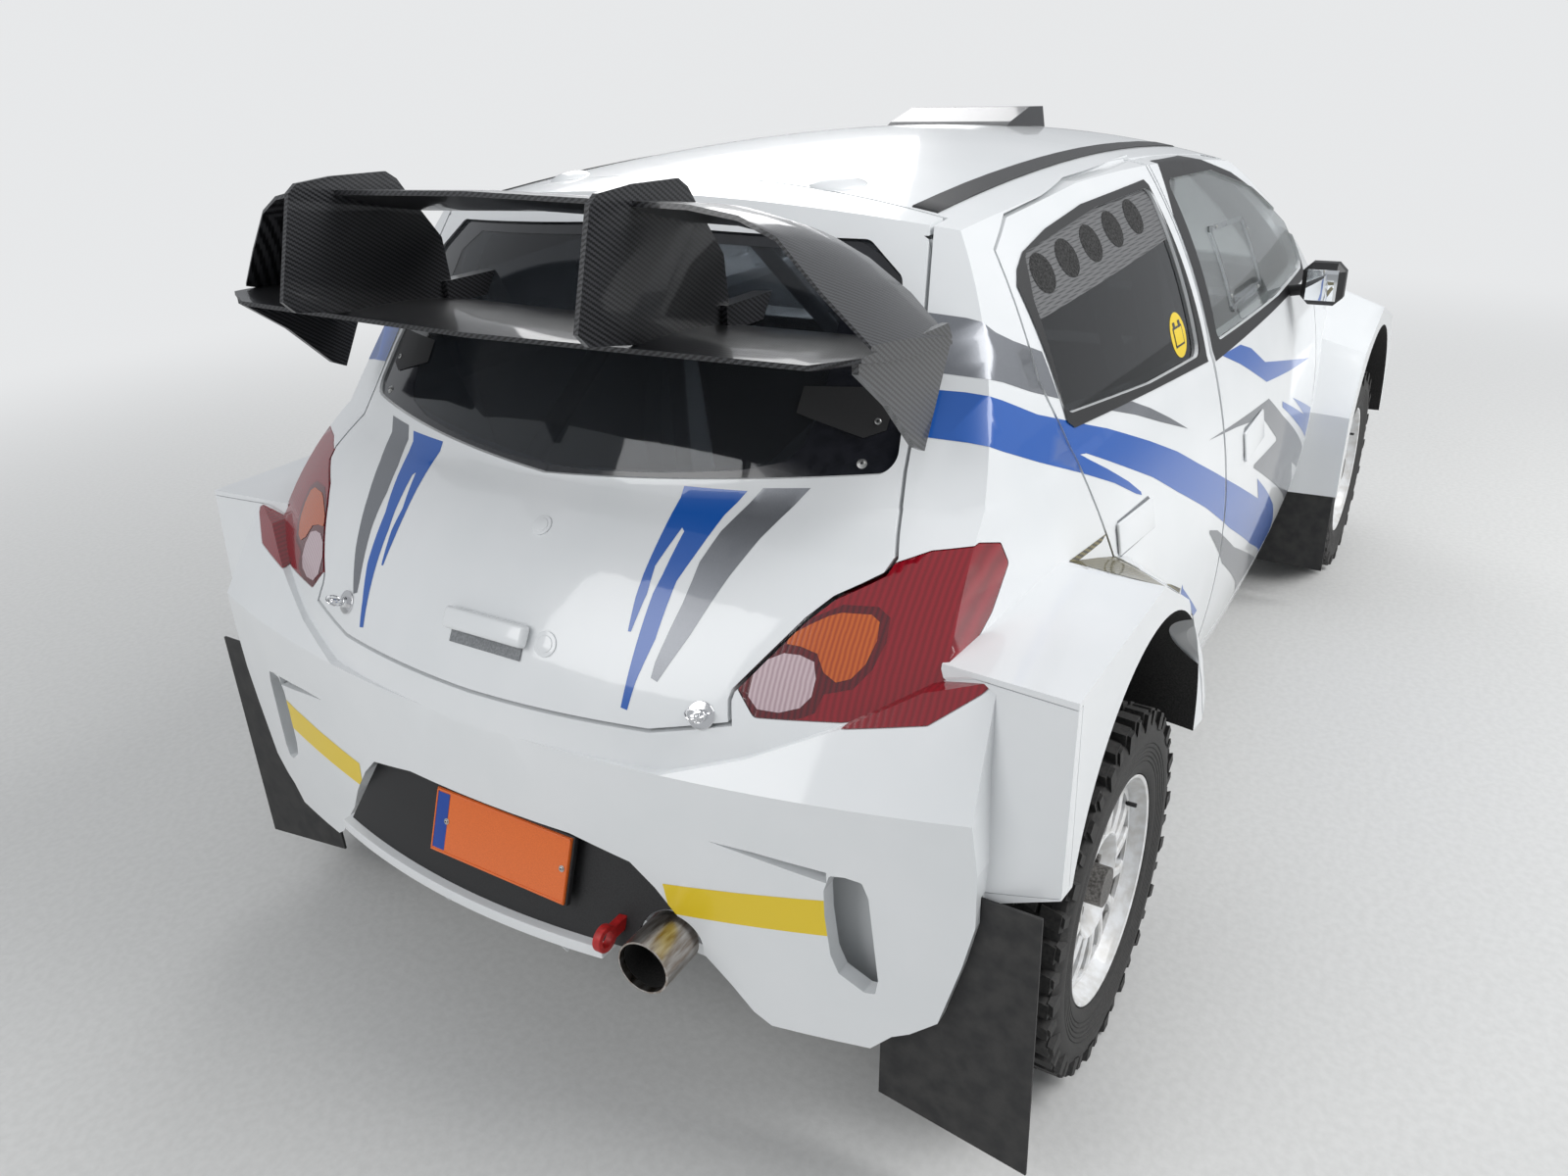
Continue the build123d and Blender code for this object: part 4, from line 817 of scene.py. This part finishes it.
def from_above(part, x, y):
    """Where a line from above the car meets a CAD piece."""
    return skin_point(part, (x, y, 2.2), (0, 0, -1))


def strip(name, points, outs, width, thickness, material, body, sink=0.0):
    """A flat strip that follows points, lying square to the directions given."""
    def build(solid):
        rows = []
        for index, (point, out) in enumerate(zip(points, outs)):
            before, after = points[max(index - 1, 0)], points[min(index + 1, len(points) - 1)]
            side = (Vector(after) - Vector(before)).cross(Vector(out)).normalized() * width / 2
            lift = Vector(out).normalized()
            low, high = Vector(point) - lift * sink, Vector(point) + lift * (thickness - sink)
            corners = (low - side, high - side, high + side, low + side)
            rows.append([solid.verts.new(corner) for corner in corners])
        for row, after in zip(rows, rows[1:]):
            for step in range(4):
                solid.faces.new((row[step], row[(step + 1) % 4], after[(step + 1) % 4], after[step]))
        solid.faces.new(rows[0])
        solid.faces.new(reversed(rows[-1]))
    return shape(name, mesh_of(build), material, body)


# A mid grey that is painted shade: in the corner vents, under the tailgate handle and round the door handles
# it stands for white surfaces in shadow.
painted_shade_grey = textured(
    "painted_shade_liner", (0.20, 0.21, 0.22), 0.55,
    texture=(300, 0.0002, 3, ((0.16, 0.17, 0.18), (0.25, 0.26, 0.27))))
on_tail = "tailgate_assembly"
met, normal = from_behind("tailgate", -0.019, 0.868)
pad("tailgate_handle", met, normal, (0, 0, 1), (0.168, 0.036, 0.020), 0.007, white, on_tail)
# A thin grey pad under the tailgate handle: painted shade, standing for the shadow in a hollow that is not
# cut.
met, normal = from_behind("tailgate", -0.019, 0.846)
pad("handle_painted_shade", met, normal, (0, 0, 1), (0.150, 0.026, 0.003), 0.0012, painted_shade_grey, on_tail, 0.002)
for index, (y, z, radius) in enumerate(((-0.051, 1.004, 0.017), (-0.133, 0.864, 0.020))):
    met, normal = from_behind("tailgate", y, z)
    for suffix, share, length in (("", 1, 0.0022), ("_face", 0.68, 0.0034)):
        round_bar(
            f"plug_{index + 1}{suffix}", met, normal, radius * share, length, white, on_tail, sides=36,
            rim=0.0008)


def quick_pin(name, side_name, met, normal, length, body):
    """A chrome base on the skin with a shaft through it."""
    round_bar(f"{name}_base_{side_name}", met, normal, 0.021, 0.0028, chrome, body, sides=36, rim=0.001)
    round_bar(f"{name}_shaft_{side_name}", met, normal, 0.0055, length, chrome, body, rim=0.001)


for side, name, y, z in ((1, "left", 0.344, 0.825), (-1, "right", -0.405, 0.807)):
    met, normal = from_behind("tailgate", y, z)
    quick_pin("pin", name, met, normal, 0.034, on_tail)
    round_bar(f"pin_collar_{name}", met, normal, 0.010, 0.012, chrome, on_tail, rim=0.002)
    for index, tilt in enumerate((0.35, -0.5)):
        place = met + normal * 0.021 + Vector((0, 0.004 * index, 0))
        hoop(f"pin_ring_{index + 1}_{name}", place, Vector((0.25, tilt, 1.0)), 0.014, 0.0013, chrome, on_tail)

handle_places = {"rear": (-0.962, 0.874), "front": (-0.181, 0.824)}
# A grey film round each door handle: painted shadow, standing for the shadow in the gap round the flush
# handle.
for end, size in (("rear", (0.171, 0.065)), ("front", (0.183, 0.075))):
    place = handle_places[end]
    lay_film(f"{end}_handle_gap", [right_doors[end]], [
        (place[0] + x * size[0], place[1] + z * size[1]) for x, z in (
            (-0.5, -0.32), (-0.42, -0.5), (0.42, -0.5), (0.5, -0.32), (0.5, 0.32), (0.42, 0.5), (-0.42, 0.5),
            (-0.5, 0.32))], "y", painted_shade_grey, 0.0004)
for side, name in ((1, "left"), (-1, "right")):
    met, normal = from_above("bonnet", 1.560, side * 0.400)
    quick_pin("bonnet_pin", name, met, normal, 0.022, "bonnet_panel")
    tilt = Vector((1, 0.3, 0.2))
    hoop(f"bonnet_pin_ring_{name}", met + normal * 0.013, tilt, 0.012, 0.0013, chrome, "bonnet_panel")
    for end, size, lean in (("rear", (0.164, 0.058, 0.006), 0.02), ("front", (0.176, 0.068, 0.006), -0.05)):
        x, z = handle_places[end]
        part = f"{end}_{name}_door"
        met, normal = skin_point(part, (x, side * 1.4, z), (0, -side, 0))
        pad(f"{part}_handle", met, normal, (lean, 0, 1), size, 0.0028, white, f"{part}_assembly", 0.0005)
    points, outs = [], []
    for step in range(33):
        met, normal = from_above("body_shell", -1.235 + 1.56 * step / 32, side * 0.4675)
        points.append(met)
        outs.append(normal)
    strip(f"roof_strip_{name}", points, outs, 0.044, 0.0032, seal_rubber, "car_body", 0.001)
    met, normal = from_above("body_shell", -1.150, side * 0.292)

    def build_swelling(solid):
        bmesh.ops.create_uvsphere(solid, u_segments=32, v_segments=16, radius=1)
        spread = aimed(met - normal * 0.004, normal) @ Matrix.Diagonal((0.055, 0.038, 0.015, 1))
        bmesh.ops.transform(solid, matrix=spread, verts=solid.verts)
    shape(f"hinge_swelling_{name}", mesh_of(build_swelling), white, "car_body")

# Rear end: black panel, blank orange plate with a blue band in a dark frame, white lip with
# three strakes, grey liners in the corner vents, a burnished exhaust and red tow eyes. The
# liners' grey is painted shade: it stands for the white inner walls of the vents in shadow.
panel_black = textured(
    "panel_black", (0.010, 0.010, 0.011), 0.45,
    texture=(420, 0.0001, 4, ((0.008, 0.008, 0.009), (0.017, 0.017, 0.018)), (0.38, 0.6)))
coat(["rear_panel"], panel_black)
plate_orange = textured(
    "plate_orange", (0.78, 0.15, 0.015), 0.35, coat_weight=0.5,
    texture=(700, 0.00008, 2, ((0.70, 0.13, 0.012), (0.82, 0.165, 0.02))))
coat(["number_plate"], plate_orange)
plate_low, plate_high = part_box("number_plate")
plate_lean = (plate_high.x - plate_low.x - 0.004) / (plate_high.z - plate_low.z)
plate_out = Vector((-1, 0, plate_lean)).normalized()
plate_up = Vector((plate_lean, 0, 1)).normalized()
plate_middle = Vector(((plate_low.x + plate_high.x) / 2, -0.03, (plate_low.z + plate_high.z) / 2))
pad(
    "plate_frame", plate_middle - plate_out * 0.013, plate_out, plate_up, (0.306, 0.116, 0.011), 0.002, black,
    "car_body", 0)
plate_face = plate_middle + plate_out * 0.002
plate_blue = textured("plate_blue", (0.01, 0.06, 0.34), 0.35, texture=(700, 0.00008, 2))
pad(
    "plate_band", plate_face + Vector((0, 0.134, 0)), plate_out, plate_up, (0.030, 0.098, 0.0006), 0.0002,
    plate_blue, "car_body", 0)
for name, across, up, size in (
        ("top", 0, 0.0525, (0.298, 0.003, 0.0016)), ("foot", 0, -0.0525, (0.298, 0.003, 0.0016)),
        ("left", 0.1475, 0, (0.003, 0.108, 0.0016)), ("right", -0.1475, 0, (0.003, 0.108, 0.0016))):
    place = plate_face + Vector((0, across, 0)) + plate_up * up
    pad(f"plate_rim_{name}", place, plate_out, plate_up, size, 0.0006, plate_orange, "car_body", 0)
for name, across in (("left", 0.12), ("right", -0.138)):
    place = plate_face + Vector((0, across, 0)) + plate_up * 0.002
    screw(f"plate_screw_{name}", place, plate_out, 0.0036, "car_body")
for index, y in enumerate((0.332, 0.107, -0.162)):
    met, normal = from_behind("rear_lip", y, 0.381)
    strake = [(met.x + x, z) for x, z in ((0.004, 0.3725), (0.038, 0.3725), (0.034, 0.350), (0.022, 0.338))]
    shape(f"lip_strake_{index + 1}", prism_mesh(strake, "y", y - 0.002, y + 0.002), white, "car_body")
# Grey sheets set back in the corner vents: painted shade, standing for the vents' white inner walls in
# shadow.
for side, name in ((1, "left"), (-1, "right")):
    met, normal = from_behind("rear_bumper", side * 0.59, 0.50)
    corners = [(side * y, z) for y, z in (
        (0.590, 0.375), (0.690, 0.375), (0.700, 0.500), (0.690, 0.625), (0.590, 0.625))]
    shape(f"painted_shade_liner_{name}", prism_mesh(corners, "x", met.x + 0.085, met.x + 0.090), painted_shade_grey, "car_body")
burnt = textured(
    "burnished_steel", (0.42, 0.38, 0.34), 0.3, 1.0,
    texture=(22, 0.0001, 6, ((0.30, 0.25, 0.21), (0.56, 0.54, 0.52)), (0.18, 0.5), (1, 6, 6)))
coat(["exhaust"], burnt)
round_edges(["exhaust"], 0.0008)
soot = textured(
    "soot", (0.006, 0.006, 0.006), 0.95,
    texture=(300, 0.0004, 4, ((0.004, 0.004, 0.004), (0.016, 0.015, 0.014))))
bore = Vector((rear_axle - 0.570, -0.3507, 0.4146))
out_of_pipe = Vector((-0.087, -0.006, 0.005)).normalized()


def build_bore(solid):
    lathe(solid, [
        (0.0412, 0.0), (0.0412, 0.052), (0.0405, 0.052), (0.0405, 0.001), (0.0002, 0.001), (0.0002, 0.0)], 48)
    turn = out_of_pipe.to_track_quat("Y", "Z").to_matrix().to_4x4()
    bmesh.ops.transform(solid, matrix=Matrix.Translation(bore) @ turn, verts=solid.verts)


shape("exhaust_soot", mesh_of(build_bore), soot, "car_body")
hook_red = textured(
    "tow_red", (0.42, 0.012, 0.012), 0.4,
    texture=(160, 0.0002, 4, ((0.34, 0.010, 0.010), (0.50, 0.016, 0.016)), (0.3, 0.55)))
coat(["tow_eyes"], hook_red)
round_edges(["tow_eyes"], 0.0015)
flap_rubber = textured(
    "flap_rubber", (0.020, 0.020, 0.021), 0.6,
    texture=(30, 0.0012, 6, ((0.013, 0.013, 0.014), (0.036, 0.035, 0.034)), (0.45, 0.75)))
coat(["mud_flaps"], flap_rubber)
round_edges(["mud_flaps"], 0.0012)

# Mirrors, nose mesh and underside: black shells with mirror glass, expanded mesh in
# the intake, an aluminium guard, and cast, forged and turned metal underneath.
coat(["left_mirror", "right_mirror"], black)
round_edges(["left_mirror", "right_mirror"], 0.006, 4)
silver = textured("mirror_glass", (0.86, 0.88, 0.90), 0.02, 1.0, texture=(40, 0, 2, None, (0.01, 0.04)))
for side, name in ((1, "left"), (-1, "right")):
    met, normal = skin_point(f"{name}_mirror", (-0.2, side * 0.84, 1.075), (1, 0, 0))
    pad(
        f"{name}_mirror_glass", met, (-1, 0, 0), (0, 0, 1), (0.072, 0.076, 0.0016), 0.0006, silver,
        f"front_{name}_door_assembly", 0.0004)
mesh_metal, mesh_metal_shader = finish_of("intake_mesh", (0.03, 0.03, 0.031), 0.4, 0.4)
cells(
    mesh_metal, mesh_metal_shader, 70, 0.15, ((0.10, 0.10, 0.105), (0.003, 0.003, 0.003)), (0.06, 0.11),
    "DISTANCE_TO_EDGE")
coat(["grille"], mesh_metal)
running_gear = [
    "suspension", "rear_knuckles", "front_left_knuckle", "front_right_knuckle", "rear_differential"]
coat(running_gear + ["drive_shafts"], dark_steel)
round_edges(running_gear, 0.002)
cast = textured(
    "cast_alloy", (0.33, 0.33, 0.34), 0.55, 0.8,
    texture=(240, 0.0005, 5, ((0.24, 0.24, 0.25), (0.42, 0.42, 0.43)), (0.45, 0.7)))
coat(["engine_block", "under_guard"], cast)
round_edges(["engine_block", "under_guard"], 0.003)

# Wheel arches: black sprayed rubber inside the arches and on their inner walls, where the
# wheels throw stones.
arch_black = textured(
    "arch_black", (0.018, 0.018, 0.018), 0.85,
    texture=(320, 0.0012, 5, ((0.012, 0.012, 0.012), (0.034, 0.033, 0.032))))
for part in ("body_shell", "front_fenders"):
    node[part].data.materials.append(arch_black)
    for face in node[part].data.polygons:
        for axle_x in (front_axle, rear_axle):
            away = Vector((face.center.x - axle_x, face.center.z - hub_height))
            outer = abs(face.center.y) > 0.45 and away.length < 0.52
            facing = Vector((face.normal.x, face.normal.z)).dot(away.normalized()) < -0.3
            wall = face.normal.y * face.center.y > 0.3 * abs(face.center.y) and abs(face.center.y) < 0.69
            if outer and away.length < 0.50 and (facing or (wall and away.length < 0.46)):
                face.material_index = 1

# Front side windows: a sliding pane in a clear frame on each, fixed with small screws.
for side, name in ((1, "left"), (-1, "right")):
    part, body = f"front_{name}_door_glass", f"front_{name}_door_assembly"
    corners = [(-0.190, 1.105), (-0.205, 1.275), (0.075, 1.262), (0.095, 1.115)]
    for index, (start, end) in enumerate(zip(corners, corners[1:] + corners[:1])):
        points, outs = [], []
        for step in range(7):
            x = start[0] + (end[0] - start[0]) * step / 6
            z = start[1] + (end[1] - start[1]) * step / 6
            met, normal = skin_point(part, (x, side * 1.4, z), (0, -side, 0))
            points.append(met)
            outs.append(normal)
        strip(f"slider_bar_{index + 1}_{name}", points, outs, 0.012, 0.004, clear, body)
        screw(f"slider_screw_{index + 1}_{name}", points[1] + outs[1] * 0.005, outs[1], 0.003, body)

# Cabin: black composite seats with padded cushions and woven harness straps, a grey painted
# cage, a flocked dashboard and a suede-rimmed wheel.
cage_paint = textured(
    "cage_paint", (0.42, 0.43, 0.45), 0.35, coat_weight=0.4,
    texture=(180, 0.0001, 4, ((0.38, 0.39, 0.41), (0.46, 0.47, 0.49)), (0.28, 0.42)))
coat(["roll_cage"], cage_paint)
composite, composite_shader = finish_of("seat_composite", (0.016, 0.016, 0.017), 0.35, coat_weight=0.7)
twill(composite, composite_shader, 0.003, ((0.010, 0.010, 0.011), (0.030, 0.030, 0.032)))
coat(["seats"], composite)
round_edges(["seats"], 0.012, 4)
flock = textured(
    "dashboard_flock", (0.022, 0.022, 0.024), 0.95, sheen=0.5,
    texture=(900, 0.0004, 5, ((0.014, 0.014, 0.015), (0.034, 0.034, 0.037))))
coat(["dashboard"], flock)
round_edges(["dashboard"], 0.012, 4)
suede = textured(
    "wheel_suede", (0.03, 0.03, 0.031), 0.9, sheen=0.6,
    texture=(500, 0.0003, 5, ((0.022, 0.022, 0.023), (0.045, 0.045, 0.047))))
coat(["steering_wheel"], suede)
round_edges(["steering_wheel"], 0.003, 3)


def weave(material, shader, thread, colours):
    """Plain woven cloth: threads over and under in turn, set by the piece's own place, with painted shade
    where the weave lies low.
    """
    tree = material.node_tree
    x, y, z = own_place(tree)
    warp = maths(tree, "SINE", maths(tree, "MULTIPLY", y, math.tau / thread))
    weft = maths(tree, "SINE", maths(tree, "MULTIPLY", maths(tree, "ADD", x, z), math.tau / thread))
    height = maths(tree, "MULTIPLY_ADD", maths(tree, "MULTIPLY", warp, weft), 0.5, 0.5)
    emboss(tree, height, shader, 0.7, 0.0003)
    # The tone follows the relief: darker low between the threads, lighter on the crests, a painted shade.
    tone(tree, height, shader, colours)


def settled(item):
    """The item as its modifiers leave it now."""
    return item.evaluated_get(bpy.context.evaluated_depsgraph_get())


def cushion_mesh(size, channels):
    """A foam pad blown up a little by cloth pressure, then sewn in channels across it."""
    most_swell, channel_depth, channel_width = 0.012, 0.006, 0.005
    box = bmesh.new()
    bmesh.ops.create_cube(box, size=1, matrix=Matrix.Diagonal((*size, 1)))
    bmesh.ops.bevel(box, geom=list(box.edges), offset=0.012, segments=3, affect="EDGES", profile=0.5)
    mesh = bpy.data.meshes.new("cushion")
    box.to_mesh(mesh)
    box.free()
    pad_object = bpy.data.objects.new("cushion", mesh)
    scene = bpy.context.scene
    scene.collection.objects.link(pad_object)
    remesh = pad_object.modifiers.new("remesh", "REMESH")
    remesh.mode = "VOXEL"
    remesh.voxel_size = 0.006
    solid = bpy.data.meshes.new_from_object(settled(pad_object))
    pad_object.modifiers.clear()
    pad_object.data = solid
    rest = [vertex.co.copy() for vertex in solid.vertices]
    cloth = pad_object.modifiers.new("cloth", "CLOTH")
    cloth.settings.use_pressure = True
    cloth.settings.uniform_pressure_force = 4
    cloth.settings.effector_weights.gravity = 0
    for frame_number in range(1, 21):
        scene.frame_set(frame_number)
    blown = settled(pad_object).to_mesh()
    moved = [vertex.co.copy() for vertex in blown.vertices]
    for vertex, start, end in zip(solid.vertices, rest, moved):
        shift = end - start
        vertex.co = start + shift * min(1, most_swell / max(shift.length, 1e-9))
    settled(pad_object).to_mesh_clear()
    pad_object.modifiers.clear()
    scene.frame_set(1)
    finer = pad_object.modifiers.new("finer", "SUBSURF")
    finer.levels = 1
    finished = bpy.data.meshes.new_from_object(settled(pad_object))
    bpy.data.objects.remove(pad_object)
    for vertex in finished.vertices:
        for axis, at in channels:
            if vertex.co.z > 0:
                vertex.co.z -= channel_depth * math.exp(-((vertex.co[axis] - at) / channel_width) ** 2)
    return finished


cushion_cloth, cushion_shader = finish_of("cushion_cloth", (0.03, 0.03, 0.033), 0.95, sheen=0.4)
weave(cushion_cloth, cushion_shader, 0.0022, ((0.018, 0.018, 0.020), (0.050, 0.050, 0.055)))
strap_cloth, strap_shader = finish_of("harness_webbing", (0.02, 0.06, 0.26), 0.8, sheen=0.3)
weave(strap_cloth, strap_shader, 0.003, ((0.010, 0.035, 0.17), (0.03, 0.09, 0.34)))
base_mesh = cushion_mesh((0.350, 0.320, 0.040), ((0, -0.06), (0, 0.06), (1, -0.09), (1, 0.09)))
back_mesh = cushion_mesh((0.480, 0.320, 0.036), ((0, -0.12), (0, 0.0), (0, 0.12), (1, -0.10), (1, 0.10)))
back_lean = math.atan2(0.12, 0.66)
up_back = Vector((-math.sin(back_lean), 0, math.cos(back_lean)))
off_back = Vector((math.cos(back_lean), 0, math.sin(back_lean)))
back_turn = Matrix((up_back, Vector((0, -1, 0)), off_back)).transposed().to_4x4()
for side, name in ((1, "left"), (-1, "right")):
    y = side * 0.34
    for cushion_name, mesh, place, turn in (
            ("base", base_mesh, Vector((-0.050, y, 0.4240)), Matrix.Identity(4)),
            ("back", back_mesh, Vector((-0.2610, y, 0.740)) + off_back * 0.0220, back_turn)):
        part_mesh = mesh.copy()
        part_mesh.transform(Matrix.Translation(place) @ turn)
        cushion = shape(f"seat_{cushion_name}_cushion_{name}", part_mesh, cushion_cloth)
    buckle = Vector((-0.140, y, 0.492))
    for strap, across in (("inner", -0.075), ("outer", 0.075)):
        points = [
            Vector((-0.2610, y + across, 0.740)) + off_back * 0.062 + up_back * rise
            for rise in (0.26, 0.15, 0.0, -0.12)]
        points.append(points[-1] + Vector((0.035, -across * 0.4, -0.075)))
        points.append(buckle + Vector((-0.030, across * 0.25, 0.004)))
        outs = [off_back] * 4 + [Vector((0.85, 0, 0.5)), Vector((0.5, 0, 0.85))]
        strip(f"shoulder_strap_{strap}_{name}", points, outs, 0.046, 0.0025, strap_cloth, "car_body")
        points = [
            buckle + Vector((0.0, across * 0.3, 0.002)), Vector((-0.150, y + across * 1.5, 0.490)),
            Vector((-0.185, y + across * 2.15, 0.440))]
        outs = [Vector((0, 0, 1)), Vector((0, across, 1)), Vector((0, across * 8, 1))]
        strip(f"lap_strap_{strap}_{name}", points, outs, 0.046, 0.0025, strap_cloth, "car_body")
    round_bar(
        f"harness_buckle_{name}", buckle, (0.2, 0, 1), 0.030, 0.016, steel, "car_body", sides=32, rim=0.004)
display_dark = textured(
    "display_dark", (0.008, 0.010, 0.012), 0.12,
    texture=(60, 0, 2, ((0.006, 0.008, 0.010), (0.011, 0.014, 0.017)), (0.08, 0.2)))
met, normal = skin_point("dashboard", (0.30, 0.0, 0.860), (1, 0, 0))
pad("centre_display", met, normal, (0, 0, 1), (0.180, 0.080, 0.022), 0.006, display_dark, "car_body", 0.004)
for index in range(8):
    met, normal = skin_point("dashboard", (0.30, -0.150 - 0.030 * index, 0.835), (1, 0, 0))
    finish = steel if index % 2 else hook_red
    round_bar(f"switch_{index + 1}", met, normal, 0.007, 0.012, finish, "car_body", sides=16, rim=0.001)
round_bar("gear_lever", (0.020, 0.0, 0.268), (-0.05, 0.0, 1), 0.011, 0.330, dark_steel, "car_body", tip=0.008)
round_bar("gear_knob", (0.0035, 0.0, 0.592), (-0.05, 0.0, 1), 0.021, 0.052, black, "car_body", rim=0.010)
